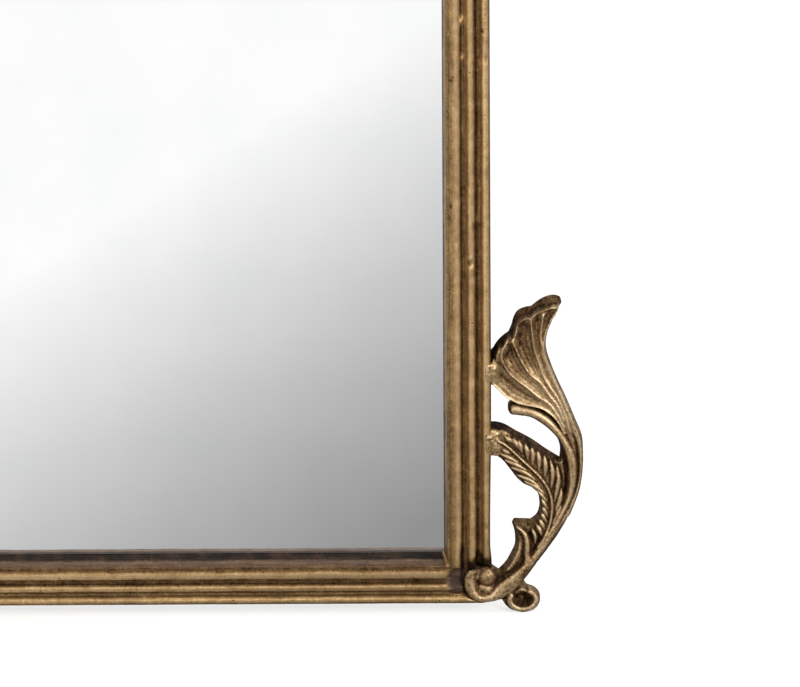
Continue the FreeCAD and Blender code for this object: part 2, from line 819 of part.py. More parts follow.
volute_screw = pan_head_screw("volute_screw", size("volute_screw_radius"),
                              size("volute_screw_length"), size("volute_screw_head_radius"),
                              size("volute_screw_head_height"))
nodes.append(group("leaf_bracket_screws", volute_screw, [
    ((half_width - inset) * way, back_plane, frame_bottom + rise) for way in (-1, 1)
]))

# Check every piece, then write one file for each node
doc.recompute()
for obj in doc.Objects:
    if "Invalid" in obj.State or "Error" in obj.State:
        raise RuntimeError(f"{obj.Name} did not build: {obj.State}")
os.makedirs("parts", exist_ok=True)
for node in nodes:
    if node.Shape.isNull() or not node.Shape.isValid():
        raise RuntimeError(f"{node.Label} has no valid shape")
    node.Shape.exportStep(f"parts/{node.Label}.step")
    print(node.Label, len(node.Shape.Solids), round(node.Shape.Volume))
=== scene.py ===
# %% [markdown]
# # A reeded floor mirror with cast leaf brackets
# The real mirror is a frame of four cast mouldings around a sheet of silvered glass.
# It stands on two leaf-shaped brackets at its lower corners and leans on a wall.
# Its exact parts come in first as a fixed frame, and every later piece is built around
# them in the same place and in metres.

# %% Load the fixed frame
import json
import math

import bpy
import numpy as np
from mathutils import Matrix, Vector
from mathutils.geometry import delaunay_2d_cdt


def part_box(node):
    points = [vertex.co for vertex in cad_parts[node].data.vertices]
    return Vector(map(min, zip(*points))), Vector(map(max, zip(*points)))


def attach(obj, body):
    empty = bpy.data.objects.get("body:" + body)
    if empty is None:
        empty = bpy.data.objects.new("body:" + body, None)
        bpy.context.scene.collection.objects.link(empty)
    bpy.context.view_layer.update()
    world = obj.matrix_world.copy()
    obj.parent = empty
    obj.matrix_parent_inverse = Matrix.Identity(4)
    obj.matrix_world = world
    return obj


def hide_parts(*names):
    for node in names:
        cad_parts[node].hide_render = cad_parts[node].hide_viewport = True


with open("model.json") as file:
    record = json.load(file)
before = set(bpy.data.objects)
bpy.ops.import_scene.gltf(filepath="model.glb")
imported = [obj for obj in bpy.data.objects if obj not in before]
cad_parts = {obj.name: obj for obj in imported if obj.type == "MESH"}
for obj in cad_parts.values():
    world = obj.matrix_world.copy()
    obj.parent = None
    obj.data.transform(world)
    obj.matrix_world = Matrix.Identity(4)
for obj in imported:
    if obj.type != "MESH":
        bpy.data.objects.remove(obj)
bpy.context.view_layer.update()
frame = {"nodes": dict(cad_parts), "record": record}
nodes = frame["nodes"]
MM = 0.001

# %% [markdown]
# ## Where things are
# All sizes below are in millimetres, the way the maker of a moulding would write them.
# Depth is counted forwards from the flat back of the moulding, so a crown that stands
# 36 mm proud of the back has depth 36. The middle plane of the mirror is x = 0.

# %% Sizes of the frame
rail_low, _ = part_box("bottom_rail")
_, stile_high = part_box("right_stile")
BACK_Y = stile_high.y / MM
HALF_WIDTH = stile_high.x / MM
FRAME_BOTTOM = rail_low.z / MM
FRAME_TOP = stile_high.z / MM
print(f"frame {2 * HALF_WIDTH:.1f} wide, {FRAME_BOTTOM:.1f} to {FRAME_TOP:.1f} high, back at {BACK_Y:.2f}")


def to_frame(across, depth, height):
    """Points of the mirror in metres, from millimetres across, forwards and up."""
    return np.stack([across, BACK_Y - depth, height], axis=-1) * MM


# %% [markdown]
# ## A few small helpers
# A colour is easiest to write as the hex value seen on a screen, but a renderer needs it
# in linear light, so one function turns one into the other. A second function adds one
# node to any tree, with its settings and what is plugged into it. The others start an
# object, a material and a tree.

# %% Colour and node helpers


def linear(hex_colour):
    """The linear colour, with alpha, of a screen colour such as #c19b6b."""
    parts = [int(hex_colour[i:i + 2], 16) / 255 for i in (1, 3, 5)]
    return [c / 12.92 if c <= 0.04045 else ((c + 0.055) / 1.055) ** 2.4 for c in parts] + [1.0]


def add(tree, kind, plugs=None, stops=(), **settings):
    """One node. Settings are its own fields, plugs feed its inputs, stops colour a ramp.

    A plug is a value, another node's output, or the node itself for its first output.
    """
    made = tree.nodes.new(kind)
    for name, value in settings.items():
        setattr(made, name, value)
    for name, value in (plugs or {}).items():
        source = value.outputs[0] if isinstance(value, bpy.types.Node) else value
        if isinstance(source, bpy.types.NodeSocket):
            tree.links.new(source, made.inputs[name])
        else:
            made.inputs[name].default_value = source
    for number, (place, colour) in enumerate(stops):
        band = made.color_ramp.elements
        element = band[number] if number < len(band) else band.new(place)
        element.position, element.color = place, linear(colour)
    return made


def put(name, data):
    """A new object in the scene that shows this mesh, curve, light or camera."""
    made = bpy.data.objects.new(name, data)
    bpy.context.scene.collection.objects.link(made)
    return made


def new_material(name):
    """An empty material and its tree, ready for a pattern and a surface."""
    material = bpy.data.materials.new(name)
    material.use_nodes = True
    material.node_tree.nodes.clear()
    return material, material.node_tree


def new_tree(name, result, inputs):
    """A geometry tree with named inputs and one result, and the sockets that feed it."""
    tree = bpy.data.node_groups.new(name, "GeometryNodeTree")
    tree.interface.new_socket(result, in_out="OUTPUT", socket_type="NodeSocketGeometry")
    for title, kind in inputs:
        tree.interface.new_socket(title, in_out="INPUT", socket_type="NodeSocket" + kind)
    return tree, add(tree, "NodeGroupInput").outputs


print("helpers ready")

# %% [markdown]
# ## Antique brass finish
# The castings are coloured like old brass: a dark brown patina was brushed on, and then
# rubbed off again wherever a cloth reaches. Crowns and ridges are pale gold, and the
# grooves and the sides stay nearly black. Each mesh carries a number per vertex, called
# rubbed_and_painted_light, which runs from 0 in a groove to 1 on a crown. It follows a
# cloth over the shape. It also holds painted highlights on the reeds, and painted shade on
# the upper sides of the bottom rail's reeds, on the foot of the slope by the glass and on
# the leaning sides of the brackets. The material only turns that number into colour and
# gloss, and adds the mottling, casting grain and pits that a mould leaves. A second
# number, filled, marks the dull filler that was smeared into the lower corners, and greys
# the upward slope of the bottom rail.

# %% Antique brass
FILLER_COLOUR, TARNISH_COLOUR = "#604d48", "#7f5b42"
TONE_PLACES = (0.0, 0.18, 0.42, 0.62, 0.82, 1.0)
MOULDING_TONES = ("#1a1108", "#3e2a16", "#765a38", "#9d7f54", "#c6a06c", "#e4c292")
LEAF_TONES = ("#1c130a", "#402d19", "#785e3f", "#9f845e", "#c6a87f", "#dfc5a0")
# patterns in the patina, each with its size in millimetres, its detail and its roughness
PATTERNS = {"cloud": (24, 4, 0.6), "blotch": (14, 4, 0.6), "mottle": (3, 5, 0.65), "grain": (1.2, 3, 0.5)}
SCRATCH_LENGTH, SCRATCH_SPACING, PIT_SPACING = 40, 0.5, 9


def antique_brass(name, tones, dull, drawn):
    """Cast brass whose patina is polished off the raised parts, with painted highlights and shade from each
    mesh's number; a drawn moulding also has scratches along its length.
    """
    material, tree = new_material(name)
    place = add(tree, "ShaderNodeTexCoord").outputs["Object"]
    # the mesh's number holds the rubbed patina and painted highlights and shade
    worn_and_lit = add(tree, "ShaderNodeAttribute", attribute_name="rubbed_and_painted_light").outputs["Fac"]
    noise = {}
    for title, (size, detail, roughness) in PATTERNS.items():
        noise[title] = add(tree, "ShaderNodeTexNoise", {
            "Vector": place, "Scale": 1000 / size, "Detail": detail, "Roughness": roughness})
    # each unevenness with its strength, and whether the sum is kept between 0 and 1 after it
    uneven = [(noise["blotch"], 0.56, False), (noise["mottle"], 0.56, True)]
    if drawn:
        lengthwise = add(tree, "ShaderNodeUVMap", uv_map="along")
        stretch = add(tree, "ShaderNodeMapping", {
            "Vector": lengthwise, "Scale": (1 / SCRATCH_LENGTH, 1 / SCRATCH_SPACING, 1)})
        streak = add(tree, "ShaderNodeTexNoise", {"Vector": stretch, "Scale": 1.0, "Detail": 3})
        uneven.append((streak, 0.64, True))
    uneven.append((noise["grain"], 0.48 if drawn else 0.68, True))
    for pattern, strength, kept in uneven:
        change = add(tree, "ShaderNodeMath", {
            0: pattern, 1: strength, 2: -strength / 2}, operation="MULTIPLY_ADD")
        worn_and_lit = add(tree, "ShaderNodeMath", {0: worn_and_lit, 1: change}, operation="ADD", use_clamp=kept)
    # pits of about 1 mm hold dirt
    cells = add(tree, "ShaderNodeTexVoronoi", {"Vector": place, "Scale": 1000 / PIT_SPACING})
    pit = add(tree, "ShaderNodeMapRange", {"Value": cells, "From Min": 0.04, "From Max": 0.11})
    clean = add(tree, "ShaderNodeMapRange", {"Value": pit, "To Min": 0.35, "To Max": 1.0})
    worn_and_lit = add(tree, "ShaderNodeMath", {0: worn_and_lit, 1: clean}, operation="MULTIPLY")
    colour = add(tree, "ShaderNodeValToRGB", {"Fac": worn_and_lit}, stops=zip(TONE_PLACES, tones))
    gloss = add(tree, "ShaderNodeMapRange", {"Value": worn_and_lit, "To Min": dull + 0.24, "To Max": dull})
    # clouds of redder tarnish lie over the colour, and the dull filler over both
    reddened = add(tree, "ShaderNodeMapRange", {
        "Value": noise["cloud"], "From Min": 0.48, "From Max": 0.74, "To Max": 0.40})
    filled = add(tree, "ShaderNodeAttribute", attribute_name="filled").outputs["Fac"]
    tarnished = add(tree, "ShaderNodeMix", {
        0: reddened, 6: colour, 7: linear(TARNISH_COLOUR)}, data_type="RGBA")
    skinned = add(tree, "ShaderNodeMix", {
        0: filled, 6: tarnished.outputs[2], 7: linear(FILLER_COLOUR)}, data_type="RGBA")
    skin = add(tree, "ShaderNodeMath", {0: noise["grain"], 1: 0.35, 2: pit}, operation="MULTIPLY_ADD")
    bump = add(tree, "ShaderNodeBump", {"Height": skin, "Strength": 0.35, "Distance": 0.0006})
    shader = add(tree, "ShaderNodeBsdfPrincipled", {
        "Base Color": skinned.outputs[2], "Roughness": gloss, "Normal": bump, "Metallic": 0.9})
    add(tree, "ShaderNodeOutputMaterial", {"Surface": shader})
    return material


reeded_brass = antique_brass("antique_brass_moulding", MOULDING_TONES, dull=0.40, drawn=True)
leaf_brass = antique_brass("antique_brass_casting", LEAF_TONES, dull=0.47, drawn=False)
print("finishes:", reeded_brass.name, leaf_brass.name)

# %% [markdown]
# ## The section of the moulding
# Each side of the frame is the same moulding: three round reeds that step up towards the
# glass, with grooves between them, and a slope down to the lip that holds the glass. A
# section like this is drawn once as a closed curve. The reeds have the crowns that they
# have in the fixed frame. Their shoulders are squarer or softer than a half round, as on
# the real casting, and patina has filled the grooves to a flat floor, except for a slot by
# the next reed.

# %% Draw the section
REEDS = [(4.5, 4.5, 22.8), (17.3, 4.2, 27.6), (30.2, 5.0, 31.3)]
GROOVE_FLOORS, SLOT, SQUARED, SOFTENED = [23.6, 28.8], 0.9, 0.82, 1.4
SHOULDER = (36.6, 33.2)
LIP_EDGE, LIP_UNDER, REBATE = 40.0, 10.3, 30.0


def reed_arc(middle, radius, level, inner_side, pieces=16):
    """The half round of one reed as pairs of place across and depth.

    Its outer side is squared, and inner_side is the power for the other one.
    """
    arc = []
    for turn in np.linspace(math.pi, 0, pieces + 1):
        out, up = math.cos(turn), max(math.sin(turn), 0.0)
        power = SQUARED if out < 0 else inner_side
        arc.append((middle + radius * math.copysign(abs(out) ** power, out), level + radius * up ** power))
    return arc


def groove(left, right, floor):
    """A flat groove with a narrow slot beside the next, higher reed."""
    slot = floor - SLOT
    flat = [((left + right) / 2, floor + 0.15), (right - 1.1, floor)]
    return flat + [(right - 0.7, slot), (right - 0.25, slot)]


section = [(0.0, depth) for depth in (0.0, 6.0, 12.0, 18.0)]
floors = [0.0] + GROOVE_FLOORS + [SHOULDER[1]]
for number, (middle, radius, level) in enumerate(REEDS):
    before, after = floors[number:number + 2]
    inner_side = SOFTENED if number < len(GROOVE_FLOORS) else SQUARED
    for across, depth in reed_arc(middle, radius, level, inner_side):
        section.append((across, max(depth, before if across < middle else after)))
    if number < len(GROOVE_FLOORS):
        following = REEDS[number + 1]
        section += groove(middle + radius, following[0] - following[1], after)
section.append(SHOULDER)
for share in (0.2, 0.4, 0.6, 0.8, 0.96):
    across = SHOULDER[0] + share * (LIP_EDGE - SHOULDER[0])
    section.append((across, SHOULDER[1] + share * (LIP_UNDER - SHOULDER[1])))
section += [(LIP_EDGE, LIP_UNDER), (36.0, LIP_UNDER), (REBATE, LIP_UNDER), (REBATE, 0.0), (15.0, 0.0)]

section_curve = bpy.data.curves.new("moulding_section", "CURVE")
section_curve.dimensions = "2D"
spline = section_curve.splines.new("POLY")
spline.points.add(len(section) - 1)
for point, (across, depth) in zip(spline.points, section):
    point.co = (across * MM, -depth * MM, 0, 1)
spline.use_cyclic_u = True
section_object = put("moulding_section", section_curve)
print("points in the section:", len(section))

# %% [markdown]
# ## Four mitred rails by rule
# A rail is the section pushed along a line and cut at 45 degrees at both ends. That is
# one rule for all four rails, so a node tree holds it: sweep the section, then move each
# point along the rail by its distance from the outer edge. Only the length differs. The
# many steps along the line leave points for the wear that comes next.

# %% The rail tree
rail_tree, given = new_tree("mitred_rail", "Rail", (
    ("Section", "Object"), ("Length", "Float"), ("Steps", "Int"), ("Finish", "Material")))
end = add(rail_tree, "ShaderNodeCombineXYZ", {"Z": given["Length"]})
line = add(rail_tree, "GeometryNodeCurvePrimitiveLine", {"End": end})
stepped = add(rail_tree, "GeometryNodeResampleCurve", {"Curve": line, "Count": given["Steps"]})
drawing = add(rail_tree, "GeometryNodeObjectInfo", {"Object": given["Section"]})
swept = add(rail_tree, "GeometryNodeCurveToMesh",
            {"Curve": stepped, "Profile Curve": drawing.outputs["Geometry"], "Fill Caps": True})
spot = add(rail_tree, "ShaderNodeSeparateXYZ", {0: add(rail_tree, "GeometryNodeInputPosition")})
share = add(rail_tree, "ShaderNodeMath", {0: spot.outputs["Z"], 1: given["Length"]}, operation="DIVIDE")
both = add(rail_tree, "ShaderNodeMath", {0: share, 1: -2.0, 2: 1.0}, operation="MULTIPLY_ADD")
shift = add(rail_tree, "ShaderNodeMath", {0: spot.outputs["X"], 1: both}, operation="MULTIPLY")
mitre = add(rail_tree, "ShaderNodeCombineXYZ", {"Z": shift})
cut = add(rail_tree, "GeometryNodeSetPosition", {"Geometry": swept, "Offset": mitre})
solid = add(rail_tree, "GeometryNodeRealizeInstances", {"Geometry": cut})
finished = add(rail_tree, "GeometryNodeSetMaterial", {"Geometry": solid, "Material": given["Finish"]})
add(rail_tree, "NodeGroupOutput", {"Rail": finished})
print("nodes in the rail tree:", len(rail_tree.nodes))

# %% Run a tree and keep its mesh


def grown_mesh(name, tree, values):
    """The mesh that a node tree makes from these named inputs, with no modifier left."""
    holder = put(name + "_maker", bpy.data.meshes.new(name + "_maker"))
    modifier = holder.modifiers.new("tree", "NODES")
    modifier.node_group = tree
    for item in tree.interface.items_tree:
        if item.in_out == "INPUT" and item.name in values:
            modifier[item.identifier] = values[item.name]
    graph = bpy.context.evaluated_depsgraph_get()
    mesh = bpy.data.meshes.new_from_object(holder.evaluated_get(graph), depsgraph=graph)
    mesh.name = name
    bpy.data.objects.remove(holder)
    return mesh


STEP = 2.4
rail_meshes = {}
for name, length in (("stile", FRAME_TOP - FRAME_BOTTOM), ("rail", 2 * HALF_WIDTH)):
    sizes = {"Length": length * MM, "Steps": int(length / STEP)}
    looks = {"Section": section_object, "Finish": reeded_brass}
    rail_meshes[name] = grown_mesh("reeded_" + name, rail_tree, {**sizes, **looks})
    print(name, "points:", len(rail_meshes[name].vertices))

# %% [markdown]
# ## Wear on the moulding
# A casting is never as true as its drawing. The reeds wander by a few tenths of a
# millimetre, small lumps sit in the grooves where the mould was patched, and at the two
# lower corners the brazing that holds the bracket has filled the grooves and left them
# dull. All of that is a small change of depth at each point, worked out from where the
# point is along the rail and across the section.

# %% Wear and rubbing of a rail
# how far the moulding is rubbed at places across it: outer reed, middle reed, bead, slope; the values also
# paint highlights on the right-hand sides of the reeds and paint light into their shaded sides
STILE_RUBBING_AND_LIGHT = [(0, .42), (1, .62), (1.8, .84), (3.5, .98), (5.4, .96), (7, .74), (7.8, .94), (8.5, 1),
                 (8.9, .60), (9.2, .36), (11.8, .26), (12.4, .50), (13.1, .54), (13.8, .72), (14.6, .90),
                 (16, .98), (17.2, .94), (18.8, .60), (20, .86), (20.6, 1), (21.1, .60), (21.4, .36),
                 (23.8, .46), (24.4, .44), (25, .44), (25.6, .80), (26.6, 1), (28.6, 1), (30.4, .76),
                 (32.4, .58), (37, .54), (40, .55)]
# how far a level rail is rubbed across it, with painted shade on the upper sides of the reeds
RAIL_RUBBING_AND_SHADE = [(0, .30), (1.2, .46), (2, .60), (3.2, .88), (4.8, .86), (6.2, .80), (6.8, .66), (7.4, .58),
                (8.2, .62), (9, .62), (10.2, .40), (11, .28), (11.8, .34), (12.6, .60), (14.4, .88),
                (16, .90), (17.4, .92), (18.2, .74), (18.9, .54), (19.6, .33), (20.6, .29), (21.6, .33),
                (22.4, .40), (23.4, .35), (24.4, .42), (25.2, .60), (26, .95), (30.4, 1), (31.3, .90),
                (32.2, .62), (33.2, .37), (35.4, .35), (36.6, .43), (37.1, .46), (40, .46)]
# single casting faults on the right stile: place across and height, half width and half
# height, rise, and change of rubbing, which also paints shade in the dents and glints on the bumps beside
# them
FAULTS = [(25.0, 523.5, 2.5, 3.6, 5.0, .7), (24.2, 490.5, 1.8, 2.6, 2.4, .38),
          (6.6, 513, 1.8, 1.6, -.5, -.7), (24.6, 478, 1.3, 2.2, -.6, -.4), (32.6, 473, 1.3, 1.6, -.4, -.5),
          (33.1, 362.5, 1.1, 1.6, -.4, -.55), (34.3, 352.5, 1.0, 1.6, -.4, -.4),
          (17.8, 311, 2.3, 1.8, -1.1, -.7), (16, 315.4, 1.4, 1.8, .9, .3), (16, 306, 1.5, 2.0, .8, .3),
          (14.4, 343, 1.1, 3.0, -.7, -.4), (8.4, 343, 1.0, 1.8, -.4, -.45), (11.4, 348, 1.8, 3.0, .9, .2)]
LUMP_TOP = 33            # no single fault stands higher than this above the back plane
GROOVE_MIDDLES, REED_MIDDLES = [11.3, 23.9], [4.5, 17.8, 30.7]
# the reeds wander in depth and sideways: lengths of the waves and their height
DEPTH_WANDER, SIDE_WANDER, WORN_AWAY = ((13, 37, 83, 190), 0.40), ((11, 29, 71, 160), 0.34), 0.44
LUMP_LINES, LUMP_SPACING = GROOVE_MIDDLES + [13.4, 9.4], 24
DENT_SPACING, DENT_LENGTH, DENT_WIDTH = 26, 1.7, 1.3


def waves(along, seed, lengths, height):
    """A gentle wander along a rail: a few sine waves with settled phases."""
    draw = np.random.default_rng(seed)
    total = np.zeros_like(along)
    for length in lengths:
        total += np.sin(2 * math.pi * along / length + draw.uniform(0, 2 * math.pi)) * draw.uniform(0.6, 1.0)
    return total * height / len(lengths)


def soft_step(value, start, stop):
    """0 at start, 1 at stop, and a smooth turn between them; it falls where stop is below start."""
    part = np.clip((value - start) / (stop - start), 0, 1)
    return part * part * (3 - 2 * part)


def between(value, start, full, fading, gone):
    """1 from full to fading, with a soft rise before it and a soft fall after it."""
    return soft_step(value, start, full) * soft_step(value, gone, fading)


def weather(across, depth, along, seed):
    """New places across and forwards for a rail's points, after casting and use."""
    front = soft_step(depth, 11, 19)
    which = np.digitize(across, GROOVE_MIDDLES)
    for reed in range(len(REED_MIDDLES)):
        on_reed = (which == reed) * front
        depth = depth + on_reed * (waves(along, seed + reed, *DEPTH_WANDER) - WORN_AWAY)
        loose = on_reed * soft_step(across, 0.5, 3)
        across = across + loose * waves(along, seed + 7 + reed, *SIDE_WANDER)
    draw = np.random.default_rng(seed + 40)
    for _ in range(int(along.max() / LUMP_SPACING)):
        middle, line = draw.uniform(0, along.max()), draw.choice(LUMP_LINES)
        size, rise = draw.uniform(1.0, 2.2), draw.uniform(0.3, 1.1)
        away = ((along - middle) / (size * 1.6)) ** 2 + ((across - line) / size) ** 2
        depth = depth + front * rise * np.exp(-away)
    for _ in range(int(along.max() / DENT_SPACING)):
        middle, line = draw.uniform(0, along.max()), draw.choice(REED_MIDDLES) + draw.uniform(-2, 2)
        away = ((along - middle) / DENT_LENGTH) ** 2 + ((across - line) / DENT_WIDTH) ** 2
        depth = depth - front * draw.uniform(0.3, 0.9) * np.exp(-away)
    return across, depth


print("rubbing is set at", len(STILE_RUBBING_AND_LIGHT), "and", len(RAIL_RUBBING_AND_SHADE), "places across the section")

# %% [markdown]
# ## The lower corners
# At a lower corner the bracket's volute covers the mitre. The moulding is let down to a
# flat seat for it, its outer corner is rounded, and a patch of smooth filler joins the
# reeds beside the volute. The mesh is bent to follow: points in the seat are lowered, and
# points beyond the rounded corner are drawn in.

# %% Shape a lower corner
# side and up are counted from the two outer edges of the frame
CORNER_ROUND = 10.0
SEAT_SIDE, SEAT_UP, SEAT_RADIUS, SEAT_FLOOR, SEAT_RIM = 8.5, 18.0, 15.4, 16.9, 0.8
FILLER_MIDDLE, FILLER_HALF, FILLER_LEVEL, FILLER_SHARE = (29, 21.5), (9.4, 13.4), 27.4, 0.92


def fill_corner(side, up, depth):
    """Depth near a lower corner, with its filler and seat, and how far each point is filled."""
    away = np.hypot((side - FILLER_MIDDLE[0]) / FILLER_HALF[0], (up - FILLER_MIDDLE[1]) / FILLER_HALF[1])
    filler = soft_step(away, 1.12, 0.72)
    smeared = FILLER_LEVEL + 0.5 * np.sin(side * 0.35) + 0.4 * np.cos(up * 0.3 + side * 0.15)
    filled = np.where(depth > 18, depth + (smeared - depth) * filler * FILLER_SHARE, depth)
    from_seat = np.hypot(side - SEAT_SIDE, up - SEAT_UP)
    seat = soft_step(from_seat, SEAT_RADIUS + SEAT_RIM, SEAT_RADIUS - SEAT_RIM)
    return filled + (np.minimum(filled, SEAT_FLOOR) - filled) * seat, filler


def round_corner(side, up):
    """Places near a lower corner drawn in to its rounded outline."""
    from_x, from_z = CORNER_ROUND - side, CORNER_ROUND - up
    away = np.hypot(from_x, from_z)
    outside = (from_x > 0) & (from_z > 0) & (away > CORNER_ROUND)
    scale = np.where(outside, CORNER_ROUND / np.maximum(away, 1e-6), 1)
    side = np.where(outside, CORNER_ROUND - from_x * scale, side)
    return side, np.where(outside, CORNER_ROUND - from_z * scale, up)


print("seat radius", SEAT_RADIUS, "corner round", CORNER_ROUND)

# %% Meshes as pieces


def points_of(mesh):
    """All vertex places of a mesh as one array."""
    spots = np.empty(len(mesh.vertices) * 3)
    mesh.vertices.foreach_get("co", spots)
    return spots.reshape(-1, 3)


def set_number(mesh, name, values):
    """Stores one number per vertex under a name that a material can read."""
    layer = mesh.attributes.get(name) or mesh.attributes.new(name, "FLOAT", "POINT")
    layer.data.foreach_set("value", np.asarray(values, np.float32))


def show(mesh, name, body, *replaced):
    """Puts a finished mesh in the scene as a piece that rides on a body."""
    piece = put(name, mesh)
    for polygon in mesh.polygons:
        polygon.use_smooth = True
    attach(piece, body)
    if replaced:
        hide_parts(*replaced)
    return piece


print("frame nodes to dress:", len(nodes))

# %% [markdown]
# Each rail is now put in its place, weathered, and marked with what a cloth reaches, with
# painted highlights and shade. Dirt stays above the volute and in the groove beside it, the
# foot of the slope by the glass is painted dark as shade, the upward slope of the bottom rail
# is greyed, and the mitre of the slope shows as a bright line.

# %% Make the four rails
FRONT_FACE, BACK_TONE, SLOPE_FROM = (15, 22), 0.12, (35, 36)
# the stiles are a little narrower above the feet
STILE_WAIST, WAIST_SIDE, WAIST_UP = 1.2, (9, 0), (30, 45, 60, 170)
# depths between which the foot of the slope is painted dark as shade, and its tone; on the bottom rail it is
# nearly black
SHADED_SLOPE_FOOT, RAIL_SHADED_SLOPE_FOOT = (19, 15, 0.22), (23.5, 19, 0.0)
SOOT_TOP, SOOT_SIDE, SOOT_UP = 44, (23, 19), (22, 26)
GRIME_SIDE, GRIME_WIDTH, GRIME_UP = 25.2, 2.2, (12, 18, 46, 60)
SEAM_WIDTH, SEAM_UP, SEAM_TONE = 1.4, (60, 50), 0.95
# how far the upward slope of the bottom rail is greyed with the filler colour, and how far the filler shows
SLOPE_GREY_SHARE, FILLER_SHOWN = 0.55, 0.9


def lay_out(name, across, along):
    """Where a rail's points are in the frame, from their places across and along it."""
    if name == "left_stile_moulding":
        return -HALF_WIDTH + across, FRAME_BOTTOM + along
    if name == "right_stile_moulding":
        return HALF_WIDTH - across, FRAME_TOP - along
    if name == "bottom_rail_moulding":
        return HALF_WIDTH - along, FRAME_BOTTOM + across
    return -HALF_WIDTH + along, FRAME_TOP - across


def make_rail(name, source, seed):
    """One weathered rail in its place on the frame."""
    mesh = rail_meshes[source].copy()
    mesh.name = name
    spots = points_of(mesh) / MM
    drawn_across, depth, along = spots[:, 0], -spots[:, 1], spots[:, 2]
    across, depth = weather(drawn_across, depth, along, seed)
    x, z = lay_out(name, across, along)
    fault_tone_and_light = np.zeros(len(depth))
    for place, height, wide, tall, rise, tone in FAULTS if name == "right_stile_moulding" else []:
        fault = (depth > 18) * np.exp(-((across - place) / wide) ** 2 - ((z - height) / tall) ** 2)
        depth = np.minimum(depth + rise * fault, np.maximum(depth, LUMP_TOP))
        # tone of the faults, with painted shade in the dents and painted glints on the bumps
        fault_tone_and_light = fault_tone_and_light + tone * fault
    side, up = HALF_WIDTH - np.abs(x), z - FRAME_BOTTOM
    side = side + STILE_WAIST * soft_step(side, *WAIST_SIDE) * between(up, *WAIST_UP)
    depth, filler = fill_corner(side, up, depth)
    side, up = round_corner(side, up)
    x, z = np.sign(x) * (HALF_WIDTH - side), FRAME_BOTTOM + up
    mesh.vertices.foreach_set("co", to_frame(x, depth, z).ravel())

    low_rail = name == "bottom_rail_moulding"
    # rubbing across the section, with painted highlights and painted shade from the tables
    rubbed_and_painted_light = np.interp(drawn_across, *zip(*(STILE_RUBBING_AND_LIGHT if source == "stile" else RAIL_RUBBING_AND_SHADE)))
    slope = soft_step(drawn_across, *SLOPE_FROM)
    shown = np.maximum(soft_step(depth, *FRONT_FACE), slope)
    rubbed_and_painted_light = rubbed_and_painted_light * shown + BACK_TONE * (1 - shown)
    # the foot of the slope by the glass is painted dark as shade
    shade_from, shade_to, shade_tone = RAIL_SHADED_SLOPE_FOOT if low_rail else SHADED_SLOPE_FOOT
    slope_foot_shade = slope * soft_step(depth, shade_from, shade_to)
    rubbed_and_painted_light = rubbed_and_painted_light * (1 - slope_foot_shade) + shade_tone * slope_foot_shade
    soot_top = SOOT_TOP + 6 * np.exp(-((side - 11) / 3) ** 2)
    soot = soft_step(soot_top - up, 0, 6) * soft_step(up, *SOOT_UP) * soft_step(side, *SOOT_SIDE)
    grime = np.exp(-((side - GRIME_SIDE) / GRIME_WIDTH) ** 2) * between(up, *GRIME_UP)
    seam = np.exp(-((side - up) / SEAM_WIDTH) ** 2) * slope * soft_step(up, *SEAM_UP)
    rubbed_and_painted_light = (rubbed_and_painted_light + fault_tone_and_light) * (1 - 0.98 * np.maximum(soot, grime))
    set_number(mesh, "rubbed_and_painted_light", np.clip(rubbed_and_painted_light + (SEAM_TONE - rubbed_and_painted_light) * seam, 0, 1))
    # the upward slope of the bottom rail is greyed with the filler colour
    greyed_slope = SLOPE_GREY_SHARE * slope * (1 - slope_foot_shade) * (1 - seam) if low_rail else 0
    set_number(mesh, "filled", np.maximum(filler * FILLER_SHOWN * (1 - 0.8 * grime), greyed_slope))

    loops = np.empty(len(mesh.loops), np.int32)
    mesh.loops.foreach_get("vertex_index", loops)
    uv = mesh.uv_layers.new(name="along")
    lengthwise = np.stack([along[loops], drawn_across[loops]], -1)
    uv.data.foreach_set("uv", lengthwise.astype(np.float32).ravel())
    mesh.update()
    return mesh


RAILS = [("left_stile", "stile", 100), ("right_stile", "stile", 200), ("bottom_rail", "rail", 300),
         ("top_rail", "rail", 400)]
for node, source, seed in RAILS:
    piece = show(make_rail(node + "_moulding", source, seed), node + "_moulding", "mirror", node)
    print(piece.name, "faces:", len(piece.data.polygons))
bpy.data.objects.remove(section_object)

# %% [markdown]
# ## The leaf bracket, drawn flat
# Each bracket is one casting, modelled in relief on a flat back, like a medal. Relief
# is easy to describe as a height over a drawing, so the bracket is drawn first, in
# millimetres out from the stile and up from the floor. Smooth lines go through a few
# points each. Each run of the outline also says how wide its side is and what tone that side
# has: the lobes of the upper leaf and the inner side of the stalk lean back a long way and
# are painted dark as shade, and the narrow sides stand upright.

# %% Lines through points


def smooth_line(points, step):
    """Even steps along a smooth line through the points; further columns are carried along."""
    knots = np.array(points, float)
    gone = np.concatenate([[0], np.cumsum(np.linalg.norm(np.diff(knots[:, :2], axis=0), axis=1))])
    slope = np.gradient(knots, gone, axis=0)
    where = np.linspace(0, gone[-1], max(2, int(round(gone[-1] / step)) + 1))
    k = np.clip(np.searchsorted(gone, where, side="right") - 1, 0, len(gone) - 2)
    span = (gone[k + 1] - gone[k])[:, None]
    f = (where - gone[k])[:, None] / span
    return ((1 + 2 * f) * (1 - f) ** 2 * knots[k] + f * (1 - f) ** 2 * span * slope[k]
            + f * f * (3 - 2 * f) * knots[k + 1] + f * f * (f - 1) * span * slope[k + 1])


